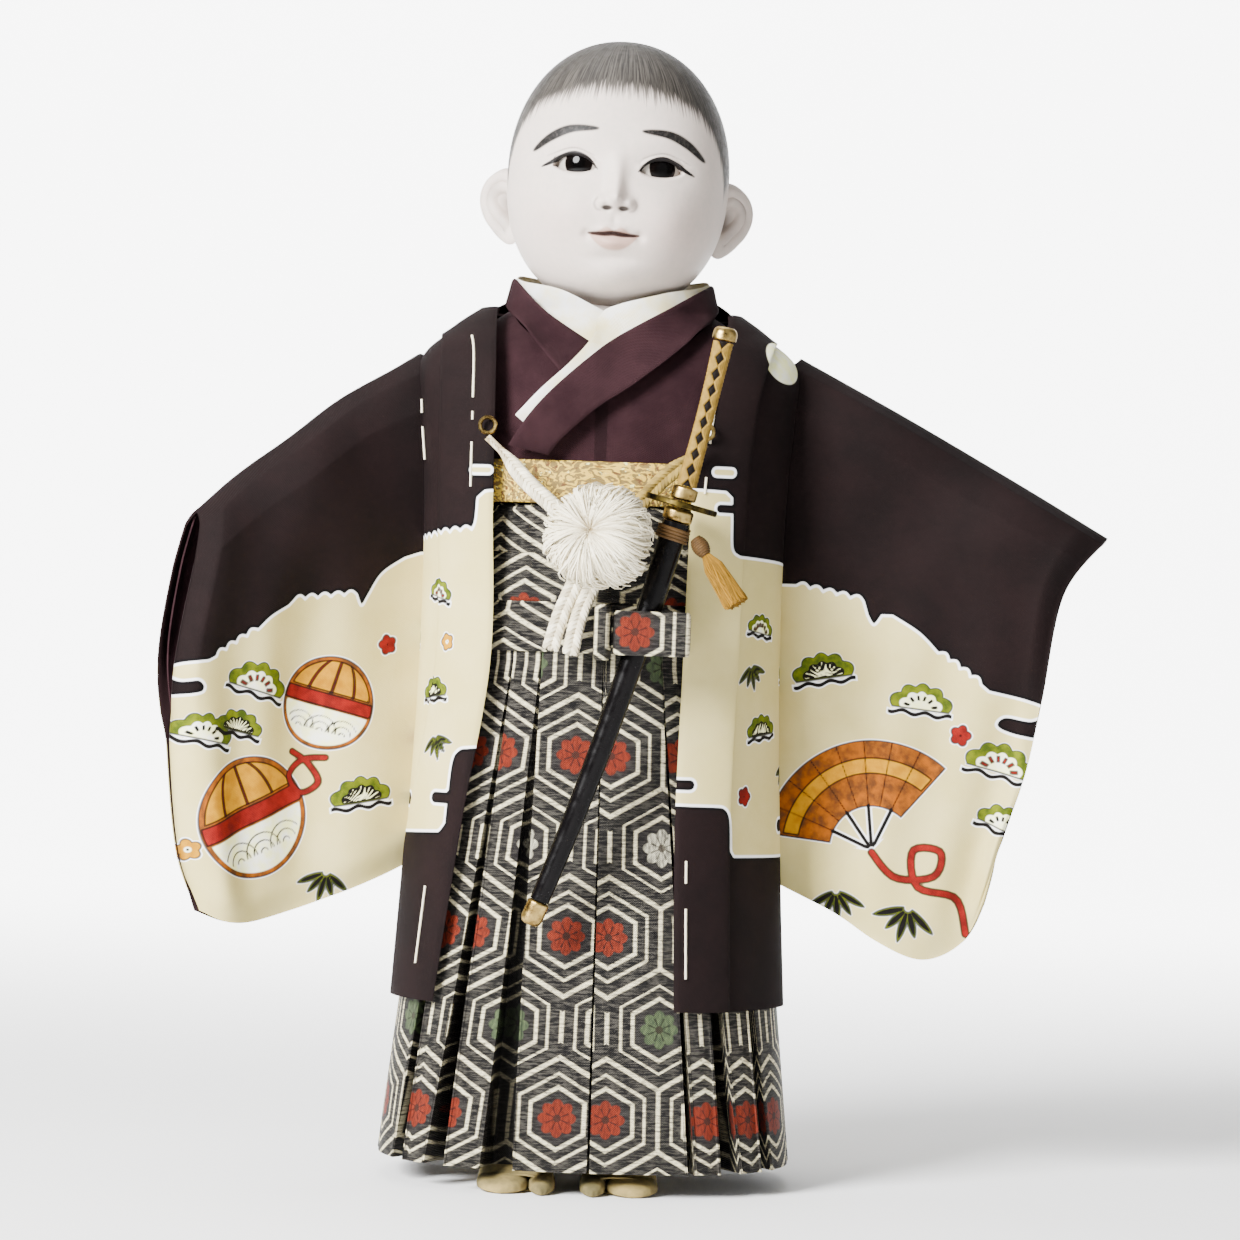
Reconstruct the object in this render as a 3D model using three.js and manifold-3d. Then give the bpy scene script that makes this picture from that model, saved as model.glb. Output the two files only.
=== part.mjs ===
// Ichimatsu doll in a long-sleeved coat, pleated hakama and sword, standing on its own feet.
// Millimetres, +Z up, front towards -Y. Sides are the doll's own: its left is +X.
// The origin is on the floor, under the middle of the doll with its spread sleeves.
import * as THREE from "three";
import { mergeVertices } from "three/addons/utils/BufferGeometryUtils.js";
import Module from "manifold-3d";

const wasm = await Module();
wasm.setup();

// Where the doll's own axis stands from the origin
const AXIS_X = -12.5;
const AXIS_Y = 17;

// General clearances
const SEAT_GAP = 0.35;
const CLOTH_GAP = 0.5;

// Heights that the head, the arms and the clothes hang from
const SHOULDER_HEIGHT = 300;
const NECKLINE_HEIGHT = SHOULDER_HEIGHT + 19;
const CHIN_HEIGHT = NECKLINE_HEIGHT + 1.5;
const WAIST_DROP = 53.5;
const HAKAMA_TOP_HEIGHT = SHOULDER_HEIGHT - WAIST_DROP;

// Head, neck and eyes
const HEAD_HEIGHT = 99;
const HEAD_WIDTH = 82;
const HEAD_DEPTH = 88;
const HEAD_ROLL = 2;
const HEAD_SHIFT = -1.1;
const EYE_HEIGHT = 49.5;
const EYE_SPACING = 32;
const EYE_WIDTH = 16;
const EYE_OPENING = 6.2;
const EYE_DEPTH = 6;
const EAR_HEIGHT = 25;
const EAR_REACH = 10;
const NECK_RADIUS = 17;
const PLUG_RADIUS = 13;
const PLUG_LENGTH = 16;

// Body under the clothes
const CHEST_HEIGHT = 69;
const CHEST_TOP = SHOULDER_HEIGHT + 1;
const CHEST_BOTTOM = CHEST_TOP - CHEST_HEIGHT;
const CHEST_HALF_WIDTH = 45;
const CHEST_HALF_DEPTH = 31;
const MIDRIFF_HEIGHT = 27;
const PELVIS_HEIGHT = 39;
const PELVIS_TOP = CHEST_BOTTOM - MIDRIFF_HEIGHT;
const PELVIS_BOTTOM = PELVIS_TOP - PELVIS_HEIGHT;
const PELVIS_HALF_WIDTH = 43;
const PELVIS_HALF_DEPTH = 29;
const STANCE_SHIFT = -5;
const LEG_SPACING = 37.4;
const THIGH_RADIUS = 15;
const CALF_RADIUS = 12.5;
const ANKLE_RADIUS = 8.5;
const LEG_PEG_RADIUS = 6;
const LEG_PEG_LENGTH = 18;
const TABI_LENGTH = 72;
const TABI_WIDTH = 29;
const TABI_CUFF_HEIGHT = 40;
const TABI_CUFF_WALL = 1.6;
const SOLE_THICKNESS = 1.6;

// Arms
const ARM_RADIUS = 8;
const UPPER_ARM_LENGTH = 46;
const FOREARM_LENGTH = 34;
const HAND_LENGTH = 22;
const ARM_DROP = 17;
const LEFT_SHOULDER_HEIGHT = SHOULDER_HEIGHT + 5;
const RIGHT_SHOULDER_HEIGHT = SHOULDER_HEIGHT + 2;
const LEFT_ARM_FORWARD = 8;
const RIGHT_ARM_FORWARD = 28;

// Coat (haori): the wrap that the other clothes are measured from
const COAT_HEM_HEIGHT = 67;
const COAT_HALF_WIDTH = 70;
const COAT_FRONT_DEPTH = 55.5;
const COAT_BACK_DEPTH = 50;
const COAT_THICKNESS = 1.3;
const COAT_COLLAR_WIDTH = 20;
const COAT_COLLAR_THICKNESS = 1.4;
const COAT_FOLDS = 3;
const COAT_FOLD_DEPTH = 2.6;
const ARMHOLE_TURN = 11;
const ARMHOLE_LENGTH = 48;
const SLEEVE_WALL = 1.3;
const SLEEVE_HALF_DEPTH = 12.5;
const SLEEVE_EDGE_HALF_DEPTH = 3;
const SLEEVE_FOLD_DEPTH = 3;

// Kimono, under-collar and obi
const KIMONO_INSET_WIDE = 9.5;
const KIMONO_INSET_DEEP = 6;
const KIMONO_THICKNESS = 1.2;
const COLLAR_THICKNESS = 1.2;
const COLLAR_HALF_WIDTH = 34;
const UNDER_COLLAR_THICKNESS = 0.8;
const OBI_HEIGHT = 15;
const OBI_THICKNESS = 1.5;

// Hakama
const HAKAMA_HEM_HEIGHT = 9;
const HAKAMA_HEM_HALF_WIDTH = 75;
const HAKAMA_HEM_FRONT = 59;
const HAKAMA_HEM_BACK = 55;
const HAKAMA_THICKNESS = 1.2;
const HAKAMA_PLEATS = 6;
const PLEAT_DEPTH_HEM = 7;
const PLEAT_DEPTH_WAIST = 1.2;
const TIE_TURNS = 3;
const TIE_BAND_HEIGHT = 53;
const TIE_BOTTOM_HEIGHT = HAKAMA_TOP_HEIGHT - TIE_BAND_HEIGHT;
const TIE_THICKNESS = 2.4;
const BACK_BOARD_WIDTH = 62;
const BACK_BOARD_HEIGHT = 36;
const BACK_BOARD_THICKNESS = 1.4;
const BOW_LENGTH = 27.5;
const BOW_HEIGHT = 16;
const BOW_CLOTH = 2.2;

// Sword, curved on one arc from pommel to scabbard tip
const SWORD_RADIUS = 1150;
const SWORD_LEAN = 14;
const SWORD_TILT = 1.9;
const GUARD_X = 27;
const GUARD_HEIGHT = HAKAMA_TOP_HEIGHT + 0.8;
const GUARD_RADIUS = 13;
const GUARD_THICKNESS = 2.2;
const HANDLE_LENGTH = 62;
const HANDLE_WIDTH = 7.8;
const HANDLE_BREADTH = 6.6;
const WRAP_THICKNESS = 0.8;
const WRAP_DIAMONDS = 9;
const POMMEL_LENGTH = 5;
const FERRULE_LENGTH = 5;
const SCABBARD_LENGTH = 156;
const SCABBARD_WIDTH = 9.6;
const SCABBARD_BREADTH = 8.4;
const SCABBARD_TAPER = 0.72;
const BLADE_LENGTH = 126;
const BLADE_WIDTH = 5.4;
const BLADE_THICKNESS = 1.6;
const BLADE_CLEARANCE = 0.5;
const BLADE_COLLAR_LENGTH = 7;
const END_CAP_LENGTH = 9;
const FITTING_LIP = 0.8;
const BLADE_COLLAR_LIP = 1.7;

// Coat ties and tassel
const POMPOM_RADIUS = 20;
const POMPOM_X = -1.5;
const POMPOM_HEIGHT = HAKAMA_TOP_HEIGHT - 12;
const TIE_CORD_DIAMETER = 5;
const TAIL_DIAMETER = 5.2;
const HOOK_RADIUS = 2.8;
const HOOK_WIRE = 1.5;
const HOOK_HEIGHT = SHOULDER_HEIGHT - 26;
const TASSEL_LENGTH = 21;
const TASSEL_RADIUS = 4.6;

// Finishes
const finish = (color, roughness, metalness = 0) =>
  new THREE.MeshStandardMaterial({ color, roughness, metalness });
const SKIN = finish(0xebe9e7, 0.45);
const EYE_GLASS = finish(0x2a1a14, 0.08);
const BODY_WOOD = finish(0xb99a6d, 0.7);
const BODY_CLOTH = finish(0xd9cfba, 0.9);
const WHITE_CLOTH = finish(0xeeebe2, 0.85);
const TABI_CLOTH = finish(0xddd2b4, 0.85);
const DARK_SILK = finish(0x3a262a, 0.75);
const COAT_SILK = finish(0x46302f, 0.75);
const GOLD_BROCADE = finish(0xd0b77c, 0.55);
const SILVER_BROCADE = finish(0x77746c, 0.6);
const CORD_SILK = finish(0xefe9d6, 0.7);
const LACQUER = finish(0x161314, 0.2);
const BRASS = finish(0xbfa24a, 0.35, 1);
const STEEL = finish(0xb9bcc0, 0.25, 1);
const RAY_SKIN = finish(0x3b352e, 0.6);
const WRAP_SILK = finish(0xcdbb8c, 0.7);
const TASSEL_SILK = finish(0xc9a55c, 0.6);

// Geometry helpers
const vec = (x, y, z) => new THREE.Vector3(x, y, z);
const radians = THREE.MathUtils.degToRad;
const { lerp, clamp, smoothstep } = THREE.MathUtils;

// Value at t, from 0 to 1, of a smooth curve through evenly spaced stations.
function through(stations, t) {
  const last = stations.length - 1;
  const place = clamp(t, 0, 1) * last;
  const start = Math.min(Math.floor(place), last - 1);
  const at = (k) => stations[clamp(k, 0, last)];
  const [a, b, c, d] = [at(start - 1), at(start), at(start + 1), at(start + 2)];
  const s = place - start;
  const bend = 2 * a - 5 * b + 4 * c - d;
  const twist = 3 * b - a - 3 * c + d;
  return 0.5 * (2 * b + (c - a) * s + bend * s ** 2 + twist * s ** 3);
}

// A closed geometry with its faces turned outwards.
function closedGeometry(positions, triangles) {
  let volume = 0;
  const corner = (i) => vec(...positions.slice(3 * i, 3 * i + 3));
  for (let k = 0; k < triangles.length; k += 3) {
    volume += corner(triangles[k]).dot(corner(triangles[k + 1]).cross(corner(triangles[k + 2])));
  }
  const geometry = new THREE.BufferGeometry();
  geometry.setAttribute("position", new THREE.Float32BufferAttribute(positions, 3));
  geometry.setIndex(volume < 0 ? triangles.slice().reverse() : triangles);
  return geometry;
}

// Closed solid between two faces, each a function of u across and v along; ring closes u on itself.
function between(outer, inner, columns, rows, ring = false) {
  const positions = [];
  const triangles = [];
  const across = ring ? columns : columns + 1;
  const spot = (side, i, j) => (side * across + (i % across)) * (rows + 1) + j;
  const quad = (a, b, c, d) => triangles.push(a, b, c, a, c, d);
  for (const face of [outer, inner]) {
    for (let i = 0; i < across; i += 1) {
      for (let j = 0; j <= rows; j += 1) {
        positions.push(...face(i / columns, j / rows).toArray());
      }
    }
  }
  for (let i = 0; i < columns; i += 1) {
    for (let j = 0; j < rows; j += 1) {
      quad(spot(0, i, j), spot(0, i + 1, j), spot(0, i + 1, j + 1), spot(0, i, j + 1));
      quad(spot(1, i, j), spot(1, i, j + 1), spot(1, i + 1, j + 1), spot(1, i + 1, j));
    }
    quad(spot(0, i, 0), spot(1, i, 0), spot(1, i + 1, 0), spot(0, i + 1, 0));
    quad(spot(0, i, rows), spot(0, i + 1, rows), spot(1, i + 1, rows), spot(1, i, rows));
  }
  for (let j = 0; j < rows && !ring; j += 1) {
    quad(spot(0, 0, j), spot(0, 0, j + 1), spot(1, 0, j + 1), spot(1, 0, j));
    quad(spot(0, columns, j), spot(1, columns, j), spot(1, columns, j + 1), spot(0, columns, j + 1));
  }
  return closedGeometry(positions, triangles);
}

// Closed solid through rings of equal count, with a fan over each end.
function loft(rings) {
  const sides = rings[0].length;
  const positions = rings.flat().flatMap((point) => point.toArray());
  const triangles = [];
  const spot = (k, i) => k * sides + (i % sides);
  for (let k = 0; k + 1 < rings.length; k += 1) {
    for (let i = 0; i < sides; i += 1) {
      triangles.push(spot(k, i), spot(k, i + 1), spot(k + 1, i + 1));
      triangles.push(spot(k, i), spot(k + 1, i + 1), spot(k + 1, i));
    }
  }
  for (const [k, turn] of [[0, 1], [rings.length - 1, -1]]) {
    const middle = positions.length / 3;
    const centre = rings[k].reduce((sum, point) => sum.add(point), vec(0, 0, 0)).divideScalar(sides);
    positions.push(...centre.toArray());
    for (let i = 0; i < sides; i += 1) {
      const pair = turn > 0 ? [spot(k, i + 1), spot(k, i)] : [spot(k, i), spot(k, i + 1)];
      triangles.push(middle, ...pair);
    }
  }
  return closedGeometry(positions, triangles);
}

// Tube of round section along hand-chosen points.
function cord(points, diameter, steps) {
  const sides = 8;
  const section = new THREE.Shape();
  section.setFromPoints(
    Array.from({ length: sides }, (_, i) => {
      const angle = (2 * Math.PI * i) / sides;
      return new THREE.Vector2(Math.cos(angle), Math.sin(angle)).multiplyScalar(diameter / 2);
    }),
  );
  const path = new THREE.CatmullRomCurve3(points.map((p) => vec(...p)));
  return new THREE.ExtrudeGeometry(section, { steps, bevelEnabled: false, extrudePath: path });
}

function toSolid(geometry) {
  const bare = geometry.clone();
  bare.deleteAttribute("normal");
  bare.deleteAttribute("uv");
  const merged = mergeVertices(bare, 1e-4);
  const mesh = new wasm.Mesh({
    numProp: 3,
    vertProperties: Float32Array.from(merged.attributes.position.array),
    triVerts: Uint32Array.from(merged.index.array),
  });
  mesh.merge();
  return new wasm.Manifold(mesh);
}

function toGeometry(solid) {
  const mesh = solid.getMesh();
  const geometry = new THREE.BufferGeometry();
  geometry.setAttribute("position", new THREE.BufferAttribute(mesh.vertProperties, 3));
  geometry.setIndex(new THREE.BufferAttribute(mesh.triVerts, 1));
  return geometry;
}

const join = (...geometries) => toGeometry(geometries.map(toSolid).reduce((sum, next) => sum.add(next)));
const cut = (body, ...tools) =>
  toGeometry(tools.map(toSolid).reduce((rest, tool) => rest.subtract(tool), toSolid(body)));
const common = (a, b) => toGeometry(toSolid(a).intersect(toSolid(b)));

const doll = new THREE.Group();
doll.position.set(AXIS_X, AXIS_Y, 0);

function piece(name, geometry, material, parent = doll) {
  const mesh = new THREE.Mesh(geometry, material.clone());
  mesh.name = name;
  parent.add(mesh);
  return mesh;
}

// Rounded outline point, a superellipse, at an angle from the front centre.
function rounded(turn, halfWidth, front, back, squareness) {
  const power = 2 / squareness;
  const s = Math.sin(turn);
  const c = Math.cos(turn);
  return [
    halfWidth * Math.sign(s) * Math.abs(s) ** power,
    -(c > 0 ? front : back) * Math.sign(c) * Math.abs(c) ** power,
  ];
}

// The coat's wrap from hem to neckline, with stations at hem, thigh, hip, waist, chest, shoulder and neck
const SQUARENESS = 2.6;
const coat = {
  height: [
    ...[0, 0.27, 0.528, 0.764, 0.914, 1].map((share) => lerp(COAT_HEM_HEIGHT, SHOULDER_HEIGHT, share)),
    lerp(SHOULDER_HEIGHT, NECKLINE_HEIGHT, 0.63),
    NECKLINE_HEIGHT,
  ],
  width: [2, -1.5, -3.5, -3, 0, 0, -13, -23].map((ease) => COAT_HALF_WIDTH + ease),
  front: [2.5, 1.5, 0.5, 0, -1.5, -9.5, -19.5, -27.5].map((ease) => COAT_FRONT_DEPTH + ease),
  back: [2, 1, 0, 0, -3, -9, -15.5, -22].map((ease) => COAT_BACK_DEPTH + ease),
};
// X of the coat's two front edges at the same stations
const LEFT_EDGE = [30.5, 28.7, 29.5, 30.5, 33, 37, 41, 43];
const RIGHT_EDGE = [-55, -47, -38.5, -39.5, -40, -40.5, -41, -41];

// The hakama's wrap, inside the coat and flared below its hem
const hakama = {
  height: [HAKAMA_HEM_HEIGHT, ...coat.height.slice(0, 3), HAKAMA_TOP_HEIGHT],
  width: [HAKAMA_HEM_HALF_WIDTH, ...[3, 6.5, 12.5, 20].map((inset, i) => coat.width[i] - inset)],
  front: [HAKAMA_HEM_FRONT, ...[3.5, 4.5, 5.5, 7].map((inset, i) => coat.front[i] - inset)],
  back: [HAKAMA_HEM_BACK, ...[5, 5.5, 6, 6].map((inset, i) => coat.back[i] - inset)],
};

// Station of a wrap at a height, found by halving.
function stationAt(wrap, height) {
  let [low, high] = [0, 1];
  for (let step = 0; step < 40; step += 1) {
    const middle = (low + high) / 2;
    if (through(wrap.height, middle) < height) low = middle;
    else high = middle;
  }
  return low;
}

function wrapPoint(wrap, t, turn, liftWide = 0, liftDeep = liftWide) {
  const [x, y] = rounded(
    turn,
    through(wrap.width, t) + liftWide,
    through(wrap.front, t) + liftDeep,
    through(wrap.back, t) + liftDeep,
    SQUARENESS,
  );
  return vec(x, y, through(wrap.height, t));
}

// Turn at which a wrap passes a given x on its front.
function turnOf(wrap, t, x, lift = 0) {
  const share = Math.min(1, Math.abs(x) / (through(wrap.width, t) + lift));
  return Math.sign(x) * Math.asin(share ** (SQUARENESS / 2));
}

// Y of the front of the kimono's wrap at x and z, lifted outwards.
function kimonoFront(x, z, lift) {
  const t = stationAt(coat, z);
  const half = through(coat.width, t) - KIMONO_INSET_WIDE + lift;
  const deep = through(coat.front, t) - KIMONO_INSET_DEEP + lift;
  return -deep * Math.max(0, 1 - (Math.abs(x) / half) ** SQUARENESS) ** (1 / SQUARENESS);
}

// Head
const headGroup = new THREE.Group();
headGroup.position.set(HEAD_SHIFT, 0, CHIN_HEIGHT);
headGroup.rotation.y = radians(HEAD_ROLL);
doll.add(headGroup);
const JAW_SQUARENESS = 2.35;
const CROWN_SQUARENESS = 2.07;
const HEAD_COLUMNS = 32;
const HEAD_LEVELS = 25;
const CHIN_FORWARD = 9;
const HEAD_PLAN_SQUARENESS = 2.15;
// How much closer the levels and columns of the head lie on the face
const FACE_CROWDING = 0.05;
const FRONT_CROWDING = 0.45;

// Relief of the face, in mm towards the viewer: [x, z from the eyes, height, half-width, half-height]
const FACE_RELIEF = [
  [0, -15.5, 5.2, 3.4, 3.6],
  [0, -7, 1.6, 2.8, 6],
  [-4.4, -17, 2.2, 2, 1.9],
  [4.4, -17, 2.2, 2, 1.9],
  [-16, 0, -2, 8.5, 5],
  [16, 0, -2, 8.5, 5],
  [-20, -18, 2.2, 10, 9],
  [20, -18, 2.2, 10, 9],
  [0, -24.6, 1.7, 5.6, 1.6],
  [0, -29.4, 1.9, 4.8, 1.8],
  [0, -26.8, -1, 6.5, 0.7],
  [0, -42, 2, 8, 5],
];

function faceRelief(x, z) {
  const bump = ([px, pz, rise, wide, high]) =>
    rise * Math.exp(-(((x - px) / wide) ** 2) - ((z - EYE_HEIGHT - pz) / high) ** 2);
  return FACE_RELIEF.reduce((sum, feature) => sum + bump(feature), 0);
}

function skullRow(level) {
  const tilt = -Math.PI / 2 + Math.PI * level;
  const power = 2 / (tilt > 0 ? CROWN_SQUARENESS : JAW_SQUARENESS);
  const rise = Math.sign(Math.sin(tilt)) * Math.abs(Math.sin(tilt)) ** power;
  const z = HEAD_HEIGHT / 2 + (HEAD_HEIGHT / 2) * rise;
  const girth = Math.abs(Math.cos(tilt)) ** power;
  const forward = -CHIN_FORWARD * smoothstep(HEAD_HEIGHT * 0.55 - z, 0, HEAD_HEIGHT * 0.55);
  return { z, girth, forward };
}

function headPoint(turn, level) {
  const { z, girth, forward } = skullRow(level);
  const half = HEAD_DEPTH / 2;
  const [x, y] = rounded(turn, (HEAD_WIDTH / 2) * girth, half * girth, half * girth, HEAD_PLAN_SQUARENESS);
  const facing = smoothstep(Math.cos(turn), 0.15, 0.6) * smoothstep(girth, 0.05, 0.4);
  return vec(x, y + forward - facing * faceRelief(x, z), z);
}

function faceFront(x, z) {
  let best = 0;
  for (let level = 0; level <= 1; level += 0.004) {
    const row = skullRow(level);
    if (row.z <= z) best = level;
  }
  const { girth } = skullRow(best);
  const share = Math.min(1, Math.abs(x) / ((HEAD_WIDTH / 2) * girth));
  const turn = Math.asin(share ** (HEAD_PLAN_SQUARENESS / 2));
  return headPoint(Math.sign(x) * turn, best).y;
}

function skull() {
  const rings = [];
  for (let k = 1; k < HEAD_LEVELS; k += 1) {
    const even = k / HEAD_LEVELS;
    const crowd = Math.sin(2 * Math.PI * (even + 0.2)) - Math.sin(0.4 * Math.PI) * (1 - even * 2);
    const level = even + FACE_CROWDING * crowd;
    const ring = [];
    for (let i = 0; i < HEAD_COLUMNS; i += 1) {
      const lap = (2 * Math.PI * i) / HEAD_COLUMNS;
      ring.push(headPoint(lap - FRONT_CROWDING * Math.sin(lap), clamp(level, 0.012, 0.988)));
    }
    rings.push(ring);
  }
  return loft(rings);
}

function ear(side) {
  const shell = new THREE.SphereGeometry(1, 12, 7);
  shell.scale(EAR_REACH, 4, EAR_HEIGHT / 2);
  const bowl = new THREE.SphereGeometry(1, 9, 6);
  bowl.scale(EAR_REACH * 0.62, 2.6, EAR_HEIGHT * 0.33);
  bowl.translate(side * 1.5, -3.6, 1);
  const shape = cut(shell, bowl);
  shape.rotateY(side * radians(14));
  shape.rotateZ(side * radians(-24));
  shape.translate(side * (HEAD_WIDTH / 2 - 1), 2, EYE_HEIGHT - 12);
  return shape;
}

// Almond outline of an eye opening, grown by a margin, as a bar running back from a given depth.
function almondBar(side, margin, length, nearY) {
  const half = side * (EYE_WIDTH / 2 + margin);
  const high = EYE_OPENING / 2 + margin;
  const outline = new THREE.Shape();
  outline.moveTo(-half, -high * 0.3);
  outline.quadraticCurveTo(-half * 0.35, high * 2, half, high * 0.3);
  outline.quadraticCurveTo(half * 0.1, -high * 1.9, -half, -high * 0.3);
  const bar = new THREE.ExtrudeGeometry(outline, { depth: length, bevelEnabled: false, curveSegments: 8 });
  bar.rotateX(Math.PI / 2);
  bar.translate((side * EYE_SPACING) / 2, nearY + length, EYE_HEIGHT);
  return bar;
}

const eyeFront = faceFront(EYE_SPACING / 2, EYE_HEIGHT);
const NECK_LENGTH = CHIN_HEIGHT - CHEST_TOP + 12;

function neckAndPlug() {
  const tiltRise = (NECK_RADIUS + 2) * Math.sin(radians(HEAD_ROLL));
  const flange = CHEST_TOP + tiltRise + SEAT_GAP - CHIN_HEIGHT;
  const profile = [
    [0, CHEST_TOP - PLUG_LENGTH - CHIN_HEIGHT],
    [PLUG_RADIUS - 1, CHEST_TOP - PLUG_LENGTH - CHIN_HEIGHT],
    [PLUG_RADIUS, CHEST_TOP - PLUG_LENGTH + 2 - CHIN_HEIGHT],
    [PLUG_RADIUS, flange],
    [NECK_RADIUS + 2, flange],
    [NECK_RADIUS, CHEST_TOP + 6 - CHIN_HEIGHT],
    [NECK_RADIUS + 1, CHEST_TOP + NECK_LENGTH - CHIN_HEIGHT],
    [0, CHEST_TOP + NECK_LENGTH - CHIN_HEIGHT],
  ].map(([radius, z]) => new THREE.Vector2(radius, z));
  const lathe = new THREE.LatheGeometry(profile, 24);
  lathe.rotateX(Math.PI / 2);
  return lathe;
}

const socket = (side) => almondBar(side, 0, EYE_DEPTH + 12, eyeFront - 12);
const headWhole = join(skull(), ear(1), ear(-1), neckAndPlug());
piece("head", cut(headWhole, socket(1), socket(-1)), SKIN, headGroup);

for (const [name, side] of [["left_eye", 1], ["right_eye", -1]]) {
  const ball = new THREE.SphereGeometry(EYE_WIDTH * 0.72, 24, 14);
  ball.translate((side * EYE_SPACING) / 2, eyeFront + EYE_WIDTH * 0.72 + 0.6, EYE_HEIGHT);
  const bar = almondBar(side, -SEAT_GAP, EYE_DEPTH + 6 - SEAT_GAP, eyeFront - 6);
  piece(name, common(ball, bar), EYE_GLASS, headGroup);
}

// Chest, midriff and pelvis
function bodyBlock(levels) {
  return loft(
    levels.map(([z, half, deep]) =>
      Array.from({ length: 18 }, (_, i) => {
        const [x, y] = rounded((2 * Math.PI * i) / 18, half, deep, deep, 2.4);
        return vec(x, y, z);
      }),
    ),
  );
}

const bar = (radius, length, sides = 16) => new THREE.CylinderGeometry(radius, radius, length, sides);
const upright = (radius, bottom, top) =>
  bar(radius, top - bottom).rotateX(Math.PI / 2).translate(0, 0, (bottom + top) / 2);

// Shoulder end of an arm, below its seam on the coat
const armDrop = (height) => height - ARM_DROP - 1;
const SHOULDER_STUB_RADIUS = 7;
const stubEnd = COAT_HALF_WIDTH - ARM_RADIUS - 4.2;

function shoulderStub(side, height) {
  const stub = bar(SHOULDER_STUB_RADIUS, stubEnd).rotateZ(Math.PI / 2);
  stub.translate((side * stubEnd) / 2, 0, armDrop(height));
  return stub;
}

const chestBlock = bodyBlock([
  [0, 0.8, 0.87],
  [0.36, 0.89, 1],
  [0.68, 1, 0.97],
  [0.88, 0.89, 0.81],
  [1, 0.56, 0.68],
].map(([share, wide, deep]) => [
  lerp(CHEST_BOTTOM, CHEST_TOP, share), wide * CHEST_HALF_WIDTH, deep * CHEST_HALF_DEPTH,
]));
const neckBore = upright(
  PLUG_RADIUS + SEAT_GAP,
  CHEST_TOP - PLUG_LENGTH - 1 - CHIN_HEIGHT,
  CHEST_TOP + 5 - CHIN_HEIGHT,
);
headGroup.updateMatrix();
neckBore.applyMatrix4(headGroup.matrix);
const chestWhole = join(
  chestBlock,
  shoulderStub(1, LEFT_SHOULDER_HEIGHT),
  shoulderStub(-1, RIGHT_SHOULDER_HEIGHT),
);
piece("chest", cut(chestWhole, neckBore), BODY_WOOD);
piece(
  "midriff",
  bodyBlock([
    [PELVIS_TOP + SEAT_GAP, 0.76 * CHEST_HALF_WIDTH, 0.84 * CHEST_HALF_DEPTH],
    [(PELVIS_TOP + CHEST_BOTTOM) / 2, 0.71 * CHEST_HALF_WIDTH, 0.77 * CHEST_HALF_DEPTH],
    [CHEST_BOTTOM - SEAT_GAP, 0.76 * CHEST_HALF_WIDTH, 0.81 * CHEST_HALF_DEPTH],
  ]),
  BODY_CLOTH,
);

const legX = (side) => STANCE_SHIFT + (side * LEG_SPACING) / 2;
const legBore = (side) =>
  upright(LEG_PEG_RADIUS + SEAT_GAP, PELVIS_BOTTOM - 1, PELVIS_BOTTOM + LEG_PEG_LENGTH + 1)
    .translate(legX(side), 0, 0);
const pelvisBlock = bodyBlock([
  [PELVIS_BOTTOM, 0.93 * PELVIS_HALF_WIDTH, 0.83 * PELVIS_HALF_DEPTH],
  [lerp(PELVIS_BOTTOM, PELVIS_TOP, 0.31), PELVIS_HALF_WIDTH, PELVIS_HALF_DEPTH],
  [PELVIS_TOP, 0.84 * PELVIS_HALF_WIDTH, 0.93 * PELVIS_HALF_DEPTH],
]);
piece("pelvis", cut(pelvisBlock, legBore(1), legBore(-1)), BODY_WOOD);

// Legs and split-toe socks
function leg() {
  const top = PELVIS_BOTTOM - SEAT_GAP;
  const profile = [
    [0, SOLE_THICKNESS + 6],
    [ANKLE_RADIUS, SOLE_THICKNESS + 6],
    [ANKLE_RADIUS, TABI_CUFF_HEIGHT + 6],
    [CALF_RADIUS, lerp(TABI_CUFF_HEIGHT, top, 0.42)],
    [CALF_RADIUS - 1.5, lerp(TABI_CUFF_HEIGHT, top, 0.66)],
    [THIGH_RADIUS, top],
    [LEG_PEG_RADIUS, top],
    [LEG_PEG_RADIUS, top + LEG_PEG_LENGTH],
    [0, top + LEG_PEG_LENGTH],
  ].map(([radius, z]) => new THREE.Vector2(radius, z));
  return new THREE.LatheGeometry(profile, 12).rotateX(Math.PI / 2);
}

// Foot sections from heel to toe: [share of length, share of width, height above the sole]
const FOOT_SECTIONS = [
  [0, 0.38, 12], [0.05, 0.6, 22], [0.16, 0.74, 30], [0.34, 0.8, 28],
  [0.55, 0.9, 20], [0.74, 1, 13], [0.87, 0.94, 7.4], [0.95, 0.8, 6.2], [1, 0.5, 4.4],
];
const HEEL_BACK = 15;

function footRing([along, wide, high], bottom) {
  const ring = [];
  for (let i = 0; i < 14; i += 1) {
    const angle = (2 * Math.PI * i) / 14;
    const x = ((wide * TABI_WIDTH) / 2) * Math.sign(Math.sin(angle)) * Math.abs(Math.sin(angle)) ** 0.8;
    const z = (high / 2) * (1 - Math.sign(Math.cos(angle)) * Math.abs(Math.cos(angle)) ** 0.7);
    ring.push(vec(x, HEEL_BACK - along * TABI_LENGTH, bottom + z));
  }
  return ring;
}

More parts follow.
